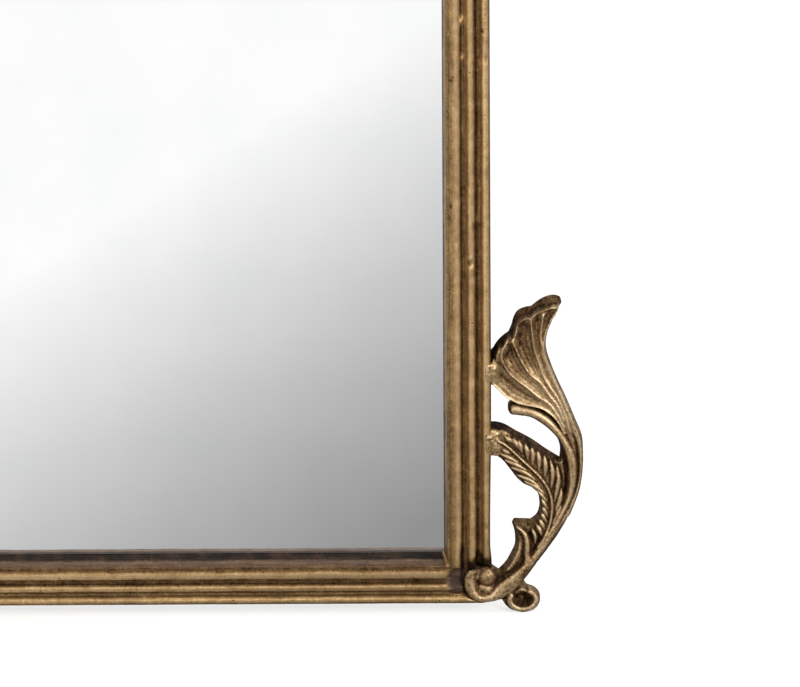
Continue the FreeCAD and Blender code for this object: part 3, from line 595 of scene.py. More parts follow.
def reach(spots, line):
    """Distance from each spot to a line, and the line's own values at the nearest place."""
    best = np.full(len(spots), np.inf)
    values = np.zeros((len(spots), line.shape[1]))
    for start, stop in zip(line[:-1], line[1:]):
        way = stop[:2] - start[:2]
        f = np.clip(((spots - start[:2]) @ way) / max(way @ way, 1e-9), 0, 1)
        gap = np.linalg.norm(spots - start[:2] - f[:, None] * way, axis=1)
        closer = gap < best
        best[closer] = gap[closer]
        values[closer] = start + f[closer, None] * (stop - start)
    return best, values


OUTER_EDGE = [(59.2, 270.6), (53.8, 262.7), (50.2, 254.7), (47.5, 247.6), (45.9, 238), (46.5, 229.3),
              (49.7, 218.2), (55.5, 203), (61.9, 188.8), (69.6, 169.6), (76.2, 151.4), (77, 141),
              (76.4, 123.9), (73.6, 106.9), (67.8, 89.9), (62.8, 78.4)]
LOBES = [[(2.2, 231.4), (4.2, 235), (8.8, 240.4), (14.8, 245.2)],
         [(14.8, 245.2), (17.0, 250.6), (19.3, 258.5), (22.4, 263.4), (29.2, 266.6), (33.8, 267.4)],
         [(33.8, 267.4), (40.6, 272.8), (46.1, 275.7), (52.6, 277), (58, 275), (59.2, 270.6)]]
RIM = [[(4.4, 223.7), (5.1, 229.3), (7, 234), (10.4, 234.8)],
       [(10.4, 234.8), (12.3, 238.8), (15.4, 242.2), (17.9, 240.8)],
       [(17.9, 240.8), (20.6, 247.6), (22.1, 253.9), (25.2, 257.9), (29.6, 260.3), (33.4, 260.3)],
       [(33.4, 260.3), (37.8, 264.2), (44.6, 267.4), (50.6, 269.4), (56.8, 269.6)]]
OUTLINE = [
    # each run: the width of its side, the tone of its side and its points; the dark tones of the wide sides
    # that lean back are painted shade
    (5.0, 0.14, LOBES[0]), (6.0, 0.16, LOBES[1]), (6.0, 0.18, LOBES[2]), (1.0, 0.52, OUTER_EDGE),
    # outer side of the stalk, then the foot scroll and the volute on the frame's corner
    (4.4, 0.20, [(62.8, 78.4), (57.6, 68.7), (47.6, 53.6), (37.4, 39.6), (30, 29), (26.8, 25)]),
    (0.9, 0.36, [(26.8, 25), (29, 21.6), (34.4, 19.4), (38.6, 15.8), (40.4, 11.2), (38.8, 5.4), (34, 0.8),
                 (29.6, 0), (26, 0), (22, 0), (17, 0.8), (11.4, 5.4), (8.4, 10.2)]),
    (0.8, 0.40, [(8.4, 10.2), (2, 9.6), (-6, 9.4), (-12, 10.2), (-17.5, 13.2), (-22, 18.5), (-24, 24.5),
                 (-24, 30), (-22.7, 35.5), (-20.5, 39.6), (-17, 41.6), (-12, 41.3), (-7, 41.5), (-2, 40.6),
                 (2, 37.4), (5.7, 35)]),
    # inner side of the stalk, thorn, feather, and the lug on the stile
    (3.8, 0.28, [(5.7, 35), (11.2, 40.8), (16.4, 50), (19.4, 57.2), (19.6, 63.5), (19, 69.5), (17, 76.4)]),
    (2.4, 0.30, [(17, 76.4), (18.4, 79.2), (24, 79.5), (32.6, 79.2)]),
    (2.2, 0.26, [(32.6, 79.2), (37.6, 83.6), (39.9, 90), (40, 96), (38.4, 103.2), (33.4, 107.6),
                 (27.2, 110.6), (22.2, 115), (15, 124.6), (8, 133), (3, 136.4), (-6.5, 136.8)]),
    (1.6, 0.60, [(-6.5, 136.8), (-6.5, 162)]),
    (2.6, 0.12, [(-6.5, 162), (0.5, 165.4), (8, 164.4), (20.7, 157.4), (33.4, 150.2), (46.1, 141),
                 (57, 134)]),
    # rolled rib, its curled end, the lower edge of the upper leaf, and the upper lug
    (3.0, 0.14, [(57, 134), (57.4, 143.8), (55.6, 150.2), (50, 157), (41.6, 164.2), (32.6, 169.4),
                 (22.4, 171.2)]),
    (1.6, 0.30, [(22.4, 171.2), (17.2, 172.8), (14.2, 177.4), (14.6, 183), (18.0, 185.8)]),
    (0.6, 0.60, [(18.0, 185.8), (12.2, 190.2), (6.4, 195.8), (1.0, 201.2), (-6.5, 203.6)]),
    (1.6, 0.60, [(-6.5, 203.6), (-6.5, 221.4)]),
    (2.0, 0.06, [(-6.5, 221.4), (-0.6, 222.8), (-0.4, 228), (2.2, 231.4)]),
]
EDGE_STEP, GRID = 0.8, 0.66
LEAF_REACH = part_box("right_leaf_bracket")[1].x / MM - HALF_WIDTH - 0.05
BLENDED = range(-9, 10)      # steps of the edge over which one run's side turns into the next
edge_runs = []
for width, tone, points in OUTLINE:
    run = smooth_line(points, EDGE_STEP)[:-1]
    edge_runs.append(np.column_stack([run, np.full(len(run), width), np.full(len(run), tone)]))
edge = np.concatenate(edge_runs)
edge[:, 2:] = np.mean([np.roll(edge[:, 2:], shift, axis=0) for shift in BLENDED], axis=0)
edge[:, 0] = np.minimum(edge[:, 0], LEAF_REACH)
edge[:, 1] = np.maximum(edge[:, 1], 0)
print("points on the bracket's edge:", len(edge))

# %% [markdown]
# ## Points over the drawing
# The drawing is filled with an even pattern of points, in rows that are shifted by half
# a step, and joined into triangles. An even pattern keeps every ridge equally sharp,
# whichever way it runs.

# %% Fill the drawing with points


def inside(spots, outline):
    """Which spots lie inside an outline: a line to the side crosses it an odd number of times."""
    crossed = np.zeros(len(spots), bool)
    for (x1, y1), (x2, y2) in zip(outline, np.roll(outline, -1, axis=0)):
        if y1 != y2:
            level_with = (spots[:, 1] >= min(y1, y2)) & (spots[:, 1] < max(y1, y2))
            crossed ^= level_with & (spots[:, 0] < x1 + (spots[:, 1] - y1) * (x2 - x1) / (y2 - y1))
    return crossed


low, high = edge[:, :2].min(0), edge[:, :2].max(0)
rows = np.arange(low[1], high[1], GRID * math.sqrt(3) / 2)
columns = np.arange(low[0], high[0], GRID)
grid = np.array([(u + GRID / 2 * (i % 2), v) for i, v in enumerate(rows) for u in columns])
grid = grid[inside(grid, edge[:, :2])]
closed_edge = np.concatenate([edge, edge[:1]])
room, _ = reach(grid, closed_edge)
grid = grid[room > GRID * 0.55]
drawing_points = np.concatenate([edge[:, :2], grid])
edge_loop = [(i, (i + 1) % len(edge)) for i in range(len(edge))]
spots2d, _, drawing_faces, _, _, _ = delaunay_2d_cdt(
    [Vector(p) for p in drawing_points], edge_loop, [], 1, 1e-5)
spots = np.array([tuple(p) for p in spots2d])
drawing_faces = np.array([list(f) for f in drawing_faces])
print("points:", len(spots), "triangles:", len(drawing_faces))

# %% [markdown]
# ## Relief of the upper leaf
# The upper leaf is a fan of five hollow flutes between thin ridges. The two nearest
# ridges of a point say where it is in its flute: on a ridge it is high, and halfway
# between two ridges it is deepest. Wide flutes are deeper than narrow ones, as when a
# carver uses the same gouge at the same angle. Fine lines run along each flute.

# %% Flutes between ridges
LEAF_LEVEL, FLUTE_SHARE, FLUTE_DEEPEST = 26.6, 0.52, 6.2
FAN_LINES, FAN_RELIEF = 4, 0.14
LEAF_RIDGES = [
    [(57.6, 268), (52.4, 261.6), (48.8, 253.8), (46, 247), (44.4, 238), (45, 229.3), (48.2, 218.2),
     (54, 203), (60.4, 188.8), (67.8, 169.6), (71.6, 158)],
    [(43.9, 263), (42.3, 252.3), (41.9, 242), (43.9, 232.4), (47.5, 220.8), (52, 209.3), (58, 195),
     (64, 178)],
    [(33.4, 260.3), (34.1, 252.3), (35.1, 242.7), (36.8, 231.6), (40.4, 220.5), (44.1, 209.3), (49.9, 199),
     (55.9, 189.5), (61.5, 176), (66, 160)],
    [(17.9, 240.8), (20.4, 234.8), (24.1, 226.1), (28.5, 217.4), (33.7, 210.2), (41.1, 203.8),
     (48.5, 192.7), (55.9, 182.4), (61, 170)],
    [(10.4, 234.8), (9.2, 224.5), (11.5, 219), (15.9, 211.8), (22.6, 205.5), (30.7, 199), (39.6, 191.1),
     (48.5, 184.8), (56, 174), (61, 164)],
    [(1.8, 202.2), (7.2, 196.6), (13, 191), (19.4, 186.8), (30.6, 183.4), (41.1, 181), (48.5, 176.6),
     (55.9, 168.4), (61.5, 158)],
]
leaf_lines = [smooth_line(points, 1.5) for points in LEAF_RIDGES]
rim_line = np.concatenate([smooth_line(points, 1.2) for points in RIM])
outermost, lowest = smooth_line(LEAF_RIDGES[0], 2.0), smooth_line(LEAF_RIDGES[-1], 2.0)
leaf_area = np.concatenate([rim_line, outermost, lowest[::-1]])


def fluted(spots):
    """Depth of the upper leaf's surface, hollowed between its ridges."""
    gaps = np.sort(np.stack([reach(spots, each)[0] for each in leaf_lines + [rim_line]]), axis=0)[:2]
    width = gaps.sum(0)
    safe = np.maximum(width, 1e-6)
    midway = 1 - ((gaps[1] - gaps[0]) / safe) ** 2
    towards_rim = 0.40 + 0.60 * soft_step(spots[:, 1], 195, 245)
    fine = FAN_RELIEF * np.cos(2 * math.pi * FAN_LINES * gaps[0] / safe) * soft_step(width, 2, 5)
    hollow = np.minimum(FLUTE_SHARE * width, FLUTE_DEEPEST) * towards_rim * np.maximum(midway, 0) ** 0.6
    return LEAF_LEVEL - hollow + fine


FLOOR, LEAF_FROM = 20.8, 150
depth = np.full(len(spots), FLOOR)
near_leaf = spots[:, 1] > LEAF_FROM
leaf_spots = spots[near_leaf]
border, _ = reach(leaf_spots, np.concatenate([leaf_area, leaf_area[:1]]))
within = soft_step(np.where(inside(leaf_spots, leaf_area), border, -border), -0.9, 0.5)
depth[near_leaf] += (fluted(leaf_spots) - FLOOR) * within
print("leaf points:", len(leaf_spots), "deepest flute:", round(depth[near_leaf].min(), 2))

# %% [markdown]
# ## Relief of the stem, feather, volute and foot
# Everything else on the bracket is made of round bars that swell and taper, as a
# modeller would roll them in wax: the stem and its thin outer rim, the rolled rib with a
# curled end, the midrib and barbs of the feather leaf, the thorn, the band that winds
# into the volute, and the ring of the foot. Each bar is a line with a half width and a
# crest depth at each point, and a point of the relief takes the highest bar over it.

# %% Bars of the bracket
OUTER_RIM = [(57.6, 268.4, 1.0, 27.4), (52.2, 261.6, 1.0, 27.4), (48.6, 254, 1.1, 27.2),
             (44.6, 240, 1.2, 27.2), (45, 229, 1.2, 27), (48.2, 218, 1.3, 26.8), (54.2, 203, 1.4, 26.8),
             (60.4, 188.8, 1.5, 26.6), (67.8, 170, 1.5, 26.4), (74.4, 151.4, 1.5, 26.2),
             (75.2, 141, 1.5, 26.2), (74.6, 124, 1.5, 26.2), (71.8, 107, 1.5, 26.2), (66, 90.5, 1.5, 26.2),
             (61, 79.4, 1.5, 26.2), (55, 70.4, 1.5, 26.2), (44.8, 55.8, 1.5, 26.4), (34.4, 42.4, 1.6, 26.8)]
INNER_FLANK = [(22.4, 59, 2.0, 21.6), (21.2, 53, 4.2, 22.8), (17.2, 45, 5.2, 23.4), (12.4, 39, 4.8, 23.4)]
STALK_BARS = [
    OUTER_RIM,
    # the rolled rib with its curled end, which flows into the body of the stem
    [(20.2, 179, 5.2, 26.0), (24, 178.6, 4.7, 26.2), (29, 177.8, 4.5, 26.4), (36.4, 175.6, 4.5, 26.6),
     (45.4, 170.2, 4.5, 26.8), (53.6, 162, 4.4, 26.8), (60, 152.8, 4.2, 26.9), (65, 143.4, 4.4, 27.2),
     (67.6, 133, 4.6, 27.4), (68.4, 120, 4.2, 27.4), (67.4, 110, 3.6, 27.4), (64.8, 100, 3.0, 27.2),
     (60.8, 91, 2.8, 27), (55.2, 80, 2.6, 26.8), (47.5, 68, 2.5, 26.8)],
    # the flank of the stem, from the foot of the upper leaf down to the stalk
    [(62, 178, 2.0, 26), (65.6, 170, 2.6, 26), (71, 158, 2.8, 26), (74.2, 147, 2.4, 25.6),
     (74.8, 134, 2.2, 25.4), (73.8, 118, 2.2, 25.4), (70.6, 104, 2.2, 25.6), (65, 91, 2.4, 26),
     (59, 80, 2.6, 26), (52, 68.5, 2.6, 26.2), (43, 55, 2.4, 26.6)],
    # the foot of the upper leaf, which runs out between the two
    [(56.6, 176, 4.0, 26), (62, 166, 4.2, 26), (66, 157, 3.6, 25.6), (69, 147.6, 2.6, 25),
     (71, 140, 1.2, 24.2)],
    # the web that joins the dome of the volute to the end of its band
    [(-12.6, 31, 2.6, 27), (-11.6, 35.6, 3.4, 27.8), (-8, 39.4, 3.6, 28)],
    # thorn leaflet on the inner side of the stalk, and the low edge beside it
    [(18.6, 76.4, 1.4, 24.6), (24.4, 73.2, 2.2, 25.4), (28.2, 68.2, 2.8, 25.8), (29.8, 61.3, 3.0, 26),
     (29.6, 53, 3.2, 26.2), (29.8, 46, 3.2, 26.6), (28.2, 40, 3.0, 27)],
    INNER_FLANK,
]
# dark grooves on both sides of the stem, with how fully each is cut at each point
GULLIES = [
    [(59, 147, 0), (60.4, 135, 1), (61.8, 124.5, 1), (62.6, 114.7, 1), (61.4, 104.9, 0.9), (57.8, 94, 0)],
    [(67.6, 153, 0), (71.4, 143, 0.6), (72.7, 133, 1), (72.8, 122, 1), (71.4, 112, 0.5), (68.6, 103, 0)],
]
GULLY_WIDTH, GULLY_DEPTH = 1.1, 1.8
# places painted darker, each with how much darker and the half width in millimetres:
# the lowest flute of the upper leaf, the rolled rib, the upper lug, the hollow above the
# thorn, and the outer side of the stalk, where the darkening is painted shade
DARKENED_LINES = [
    (0.26, 2.4, [(9, 210), (14, 205.4), (22, 198.4), (31, 192.4), (40, 188)]),
    (0.17, 3.4, [(26, 177.4), (36.4, 174.6), (45.4, 169), (53.6, 161), (60, 152), (65, 143), (67.6, 133),
                 (68, 112)]),
    (0.13, 7.0, [(-6, 212), (3, 212)]),
    (0.5, 2.2, [(31, 77.4), (34.6, 78), (38, 79.4)]),
    (0.4, 2.2, [(30.5, 40), (27.4, 34.4), (24.8, 29.6)]),
]
# a second turn inside the foot scroll
FOOT_TURN = [(20.6, 17.6, 1.0, 21.6), (24, 19.4, 1.8, 23.4), (28, 19.2, 2.2, 24.2), (31.6, 17, 1.8, 23.4),
             (33.4, 14.4, 1.0, 22)]
VOLUTE_BAND = [(56, 80, 1.8, 25.8), (50.5, 69.5, 3.4, 26.8), (43.2, 57.5, 4.2, 27.4), (35.6, 46.4, 4.6, 28),
               (27.2, 36.6, 5.6, 28.6), (18, 27.6, 6.6, 29), (9.6, 20.8, 6.8, 29.2), (4.6, 16.6, 5.6, 29.6),
               (0, 14, 4.4, 30), (-7, 13, 3.7, 30.2), (-12, 14.8, 4.2, 30.4), (-15.9, 18.2, 4.8, 30.6),
               (-18.6, 24.6, 5.3, 30.6), (-18.8, 30, 5.5, 30.4), (-18, 34.6, 5.5, 30.2),
               (-15.6, 38.4, 5.0, 29.6), (-11, 39.4, 4.4, 29), (-6, 39.8, 3.0, 28)]
VOLUTE_FLOOR = [(-8.4, 21, 3.4, 24.2), (-3, 19.6, 4.0, 24.8), (2.6, 20.6, 3.4, 24.4)]
VOLUTE_LIP = [(-14.2, 29), (-13, 23.4), (-10, 18.6), (-5, 16), (0.4, 17), (3.8, 21.2), (4.6, 25)]
# lugs brazed to the stile, and the low pad under the feather
LUGS = [
    [(-8, 213, 12, 25.6), (-4.5, 213, 12, 27.7), (0, 213, 12, 27.0), (4, 213, 12, 25.8),
     (8, 213.5, 11, 23.6)],
    [(-8, 149.4, 13, 25.6), (-4.5, 149.4, 13, 27.6), (0, 149.6, 13, 26.8), (5, 150.4, 12, 25.4),
     (9, 151, 10, 23.2)],
]
FEATHER_PAD = [(8, 148, 6, 23.2), (22, 139, 11, 23.2), (37, 124, 12, 23.2), (46, 110, 9, 23.2),
               (49, 98, 8, 23.2), (49, 86, 7.5, 23.2), (45, 74, 7, 23.2)]
RIM_BAR = [[(u, v, 0.9, LEAF_LEVEL + 0.7) for u, v in points] for points in RIM]
RIDGE_BARS = [[(u, v, 0.8, LEAF_LEVEL + 0.45) for u, v in points] for points in LEAF_RIDGES[1:]]
MIDRIB = [(6, 151.6, 1.2, 25.6), (9.8, 149.8, 1.35, 26), (14.3, 146.4, 1.35, 26.2), (22, 138.9, 1.35, 26.4),
          (29.6, 131.4, 1.35, 26.5), (37.2, 123.9, 1.35, 26.5), (42.9, 117.1, 1.35, 26.5),
          (47.4, 109.6, 1.35, 26.5), (49.9, 102.1, 1.4, 26.5), (50.8, 94.6, 1.4, 26.4),
          (50.4, 86.5, 1.4, 26.3), (48.9, 78.4, 1.3, 26.2), (46.6, 71.5, 1.3, 26.2),
          (43.6, 65.6, 1.4, 26.6), (38.6, 57.8, 1.4, 27)]
RIGHT_BARBS = [[(12, 155.4), (18.1, 150.1)], [(18.6, 154), (20.6, 150), (22.4, 144.7)],
               [(23.2, 152), (25.8, 141)], [(28.5, 149.2), (30, 143), (30.6, 135)],
               [(34.2, 146), (34.9, 138), (34.3, 130.5)], [(38.8, 143), (40.2, 135), (39.9, 125.4)],
               [(44.2, 138.8), (45.6, 130), (44.9, 120.2)], [(49.6, 134), (51.6, 122), (50, 110)],
               [(55, 129.5), (56.3, 118), (52.9, 98)], [(58.6, 108.5), (57.8, 100), (53.6, 89.8)],
               [(58, 95), (56.6, 89), (52.8, 81.4)], [(54.6, 85), (53, 80), (50.4, 74.6)]]
LEFT_BARBS = [[(9.4, 144.2), (16.2, 140.4)], [(8, 139.8), (15, 137), (22.6, 132.5)],
              [(11.4, 134.4), (21, 130.6), (29.4, 125.9)], [(16.6, 128), (28.4, 123.6), (36.6, 117.4)],
              [(21, 121.6), (32.6, 116.8), (41, 110.6)], [(27.6, 115.6), (36.9, 111.4), (44.4, 105)],
              [(35.4, 109), (41, 104.6), (46.2, 98.4)], [(38.6, 102), (43.2, 97.4), (47.2, 91)],
              [(39.6, 95), (43.6, 91.2), (47, 84.8)], [(39, 88.6), (42.8, 85.4), (46, 79.6)],
              [(39.6, 82.4), (41.8, 79), (44.4, 73.4)], [(37.4, 77.6), (40.2, 73), (42, 67)],
              [(33.6, 74), (36.4, 67.6), (36.4, 60)]]
RIGHT_BARB_HALF, LEFT_BARB_HALF, BARB_FOOT, BARB_RISE = 2.7, 2.3, 24.0, 1.6
# how square a bar is across: a low power gives a flat top with steep sides
ROUND, FLAT, RING = 0.55, 0.28, 0.34


def barb(points, width):
    """A feather barb: thin at both ends, fullest a little past its middle."""
    line = smooth_line(points, 1.0)
    share = np.linspace(0, 1, len(line))
    swell = width * (0.35 + 0.65 * np.sin(math.pi * share ** 0.85))
    crest = BARB_FOOT + BARB_RISE * np.sin(math.pi * np.clip(share * 0.9 + 0.05, 0, 1))
    return np.column_stack([line, swell, crest])


def raise_bar(spots, depth, bar, roundness=ROUND):
    """The relief with one more bar standing on its floor."""
    margin = bar[:, 2].max() + 0.5
    close = np.all((spots > bar[:, :2].min(0) - margin) & (spots < bar[:, :2].max(0) + margin), axis=1)
    gap, values = reach(spots[close], bar)
    share = np.clip(1 - (gap / values[:, 2]) ** 2, 0, 1) ** roundness
    ground = np.minimum(depth[close], FLOOR + 1.5)
    lifted = depth.copy()
    top = ground + (values[:, 3] - ground) * share
    lifted[close] = np.where(gap < values[:, 2], np.maximum(depth[close], top), depth[close])
    return lifted


flat_bars = [smooth_line(bar, 1.5) for bar in LUGS + [VOLUTE_FLOOR, VOLUTE_BAND, FEATHER_PAD]]
round_bars = [smooth_line(bar, 1.5) for bar in STALK_BARS + RIM_BAR + RIDGE_BARS + [MIDRIB]]
round_bars += [barb(points, RIGHT_BARB_HALF) for points in RIGHT_BARBS]
round_bars += [barb(points, LEFT_BARB_HALF) for points in LEFT_BARBS]
for bar in flat_bars:
    depth = raise_bar(spots, depth, bar, roundness=FLAT)
for bar in round_bars:
    depth = raise_bar(spots, depth, bar)
gully = np.zeros(len(spots))
for line in GULLIES:
    gap, values = reach(spots, smooth_line(line, 1.5))
    gully = np.maximum(gully, values[:, 2] * np.exp(-(gap / GULLY_WIDTH) ** 2))
depth = depth - GULLY_DEPTH * gully
print("bars raised:", len(flat_bars) + len(round_bars))

# %% [markdown]
# The volute closes on a dome, and the foot is a ring round a hollow dish. Both are round
# about one point, so their depth only depends on the distance from it.

# %% Dome of the volute and dish of the foot


def oval(spots, middle, half):
    """How far each spot is from the middle of an oval, where 1 is on its rim."""
    return np.linalg.norm((spots - np.array(middle)) / np.array(half), axis=1)


def raise_dome(spots, depth, middle, radii, foot, top):
    """The relief with an oval dome standing in it, from its foot up to its top."""
    gap = oval(spots, middle, radii)
    dome = foot + (top - foot) * np.clip(1 - gap ** 2, 0, None) ** 0.65
    return np.where(gap < 1, np.maximum(depth, dome), depth)


depth = raise_dome(spots, depth, middle=(-3.8, 33), radii=(8.6, 9.8), foot=21.6, top=29.6)
FOOT_MIDDLE, FOOT_RING, FOOT_HALF = np.array((26.2, 11.4)), np.array((10.9, 8.4)), 3.4
RING_STEPS, DISH_FLOOR, DISH_RISE = 60, 17.4, 4.2
turn = np.radians(np.linspace(160, 415, RING_STEPS))[:, None]
ring = FOOT_MIDDLE + FOOT_RING * np.hstack([np.cos(turn), np.sin(turn)])
crest = np.linspace(27.4, 26.6, RING_STEPS)
ring_bar = np.column_stack([ring, np.full(RING_STEPS, FOOT_HALF), crest])
depth = raise_bar(spots, depth, ring_bar, roundness=RING)
from_foot = oval(spots, FOOT_MIDDLE, FOOT_RING - FOOT_HALF * 0.72)
depth = np.where(from_foot < 1, np.minimum(depth, DISH_FLOOR + DISH_RISE * from_foot ** 2), depth)
depth = raise_bar(spots, depth, smooth_line(FOOT_TURN, 1.0))
# nuggets of braze on the lower lug, and fewer on the upper one
LOWER_NUGGETS, UPPER_NUGGETS, UPPER_LUG_RISE = 26, 12, 62
nuggets = np.random.default_rng(9)
for number in range(LOWER_NUGGETS + UPPER_NUGGETS):
    lift = UPPER_LUG_RISE if number >= LOWER_NUGGETS else 0
    middle = (nuggets.uniform(-3.5, 8), nuggets.uniform(140, 160) + lift)
    rise, size = nuggets.uniform(-0.9, 1.0), nuggets.uniform(0.9, 1.9)
    depth = depth + rise * np.exp(-oval(spots, middle, size) ** 2)
print("relief from", round(depth.min(), 2), "to", round(depth.max(), 2))

# %% [markdown]
# ## Edges, casting and rubbing
# Narrow sides of the casting stand upright and wide ones lean down to the back. The whole
# relief gets the faint unevenness of a sand mould. The number for the material comes from the
# shape itself: a point that stands above the average of its neighbours is rubbed bright, a
# point below it keeps its patina, and every steep side takes the tone of its run of the
# outline, which is painted shade where it is dark. Some lines are painted darker, and a
# painted sheen brightens the volute and the dish.

# %% Finish the relief and find what a cloth would reach
LEAF_BACK, EDGE_DEPTH, EDGE_ROUND, LEAF_BACK_TONE, CREASE = 12.0, 12.6, 1.2, 0.30, math.radians(50)
sides = np.concatenate([drawing_faces[:, pair] for pair in ([0, 1], [1, 2], [2, 0])])
links = np.unique(np.sort(sides, axis=1), axis=0)
valence = np.bincount(links.ravel(), minlength=len(spots))


def averaged(values, times):
    """Each value blended with its neighbours' values, several times over."""
    one, other = links.T
    for _ in range(times):
        total = np.bincount(one, values[other], len(spots)) + np.bincount(other, values[one], len(spots))
        values = 0.5 * values + 0.5 * total / np.maximum(valence, 1)
    return values


THROAT, THROAT_REACH = (62, 160), (38, 66)
POCKET_MIDDLE, POCKET_HALF, POCKET_DEPTH = (9, 33), (8, 7), (26, 24)
SMOKE_UP, SMOKE_OUT = (37.5, 41, 43, 46), (4, 0)
VOLUTE_SHEEN, VOLUTE_SHEEN_HALF = (-2.6, 19.8), (5.4, 2.6)
DISH_SHEEN, DISH_SHEEN_HALF = (24.4, 12.6), 2.6
CREST_HALF, FLANK_HALF = 0.8, 3.0
out, up = spots.T
proud = depth - averaged(depth, 14)
broad = depth - averaged(depth, 60)
# hollows that a cloth can't reach: the flutes away from the throat of the leaf, the dish of
# the foot, and the pocket and the sooty edge above the volute
away = soft_step(oval(spots, THROAT, 1), *THROAT_REACH)
hollow = np.clip((LEAF_LEVEL - depth) / FLUTE_DEEPEST, 0, 1) ** 2 * near_leaf * away
bowl = soft_step(from_foot, 1.05, 0.75)
pocket = soft_step(oval(spots, POCKET_MIDDLE, POCKET_HALF), 1.1, 0.7) * soft_step(depth, *POCKET_DEPTH)
smoke = between(up, *SMOKE_UP) * soft_step(out, *SMOKE_OUT)
# what is painted brighter in them: file marks in the pocket, and a painted sheen inside the volute and in the
# dish
hatch = pocket * soft_step(np.sin((out + up) * 2.4), 0.5, 0.9)
sheen = np.exp(-oval(spots, VOLUTE_SHEEN, VOLUTE_SHEEN_HALF) ** 2)
sheen += np.exp(-oval(spots, DISH_SHEEN, DISH_SHEEN_HALF) ** 2)
# crests are polished most
crest_lines = [rim_line] + leaf_lines + [smooth_line(MIDRIB, 1.5)[:, :2], smooth_line(VOLUTE_LIP, 1.5)]
from_crest = np.min([reach(spots, line)[0] for line in crest_lines], axis=0)
polished = np.exp(-(from_crest / CREST_HALF) ** 2)
flank = np.exp(-(reach(spots, smooth_line(INNER_FLANK, 1.5)[:, :2])[0] / FLANK_HALF) ** 2)
# brush marks are strongest on the volute and the foot
marks = np.random.default_rng(5).normal(0, 1, len(spots))
brushed = averaged(marks, 3) * (1 - 0.4 * soft_step(up, 44, 60))
print("above their neighbours:", int((proud > 0).sum()), "of", len(spots), "points")

# %% Shape the sides
BRUSH_RELIEF, SAND_RELIEF, UPRIGHT_WIDTHS, STEEP = 0.26, 0.10, (2.2, 1.2), (0.25, 0.85)
# a narrow side stands upright under a small round, and a wide one leans down to the back
gap, values = reach(spots, np.column_stack([closed_edge, depth[np.arange(len(edge) + 1) % len(edge)]]))
upright = soft_step(values[:, 2], *UPRIGHT_WIDTHS)
edge_level = EDGE_DEPTH + (values[:, 4] - EDGE_ROUND - EDGE_DEPTH) * upright
wall = np.clip(gap / values[:, 2], 0, 1) ** 0.75
sand = SAND_RELIEF * np.sin(out * 1.9 + np.sin(up * 1.3) * 2) * np.sin(up * 1.7 + out * 0.6)
depth = averaged(edge_level + (depth + sand + BRUSH_RELIEF * brushed - edge_level) * wall, 2)
corners = np.column_stack([spots, depth])[drawing_faces]
tilt = np.cross(corners[:, 1] - corners[:, 0], corners[:, 2] - corners[:, 0])
flat = np.abs(tilt[:, 2]) / np.maximum(np.linalg.norm(tilt, axis=1), 1e-9)
slope_seen = np.zeros(len(spots))
for column in range(3):
    slope_seen += np.bincount(drawing_faces[:, column], flat, len(spots))
slope_seen /= np.maximum(np.bincount(drawing_faces.ravel(), minlength=len(spots)), 1)
facing = soft_step(averaged(slope_seen, 1), *STEEP)
print("points on steep sides:", int((facing < 0.5).sum()))

# %% Add up the rubbing
darkened = np.zeros(len(spots))
for amount, half, points in DARKENED_LINES:
    darkened += amount * np.exp(-(reach(spots, smooth_line(points, 1.5))[0] / half) ** 2)
# how much patina each place keeps, and how much brighter others get, the sheen as a painted reflection
kept = [(gully, 0.30), (hollow, 0.42), (bowl, 0.34), (pocket, 0.36), (smoke, 0.6), (hatch, -0.2)]
brighter = [(sheen, 0.24), (brushed, 0.28), (flank, 0.24), (polished, 0.30)]
# patina and soot, with the darkened lines, among them painted shade on the outer side of the stalk
patina_and_shade = darkened + sum(amount * place for place, amount in kept)
contrast = 0.31 + 0.18 * soft_step(up, 50, 80)
base_tone = 0.62 + 0.15 * soft_step(up, 150, 180)
rubbed_and_painted_light = np.clip(base_tone + contrast * (proud + 0.2 * broad) - patina_and_shade, 0.1, 1)
# steep sides take the tone of the nearest run of the outline, painted shade where it is dark
rubbed_and_painted_light = rubbed_and_painted_light * facing + values[:, 3] * (1 - facing) + sum(amount * place for place, amount in brighter)
print("rubbed from", round(rubbed_and_painted_light.min(), 2), "to", round(rubbed_and_painted_light.max(), 2))

# %% Make both brackets


def leaf_mesh(name, way):
    """A closed casting: relief in front, a flat back, and a narrow wall round the edge."""
    count = len(edge)
    front = to_frame(way * (HALF_WIDTH + spots[:, 0]), depth, spots[:, 1])
    back = to_frame(way * (HALF_WIDTH + edge[:, 0]), np.full(count, LEAF_BACK), edge[:, 1])
    _, _, back_faces, _, _, _ = delaunay_2d_cdt([Vector(p) for p in edge[:, :2]], edge_loop, [], 1, 1e-5)
    faces = [tuple(f) for f in drawing_faces]
    faces += [tuple(len(spots) + i for i in reversed(f)) for f in back_faces]
    for i in range(count):
        j = (i + 1) % count
        faces.append((j, i, len(spots) + i, len(spots) + j))
    if way < 0:
        faces = [tuple(reversed(f)) for f in faces]
    mesh = bpy.data.meshes.new(name)
    mesh.from_pydata(np.concatenate([front, back]).tolist(), [], faces)
    set_number(mesh, "rubbed_and_painted_light", np.concatenate([rubbed_and_painted_light, np.full(count, LEAF_BACK_TONE)]))
    mesh.materials.append(leaf_brass)
    mesh.update()
    return mesh


for side, way in (("right", 1), ("left", -1)):
    casting = side + "_leaf_casting"
    piece = show(leaf_mesh(casting, way), casting, "mirror", side + "_leaf_bracket")
    piece.data.set_sharp_from_angle(angle=CREASE)
    print(piece.name, "faces:", len(piece.data.polygons))

# %% [markdown]
# ## Mirror glass
# The glass is float glass with a silver coat on its back, so it reflects nearly all of the
# light, with a trace of green. A trace of haze, as dust and old polish leave it, keeps it
# from looking like a hole. The sheet in the fixed frame has the right shape and stays.

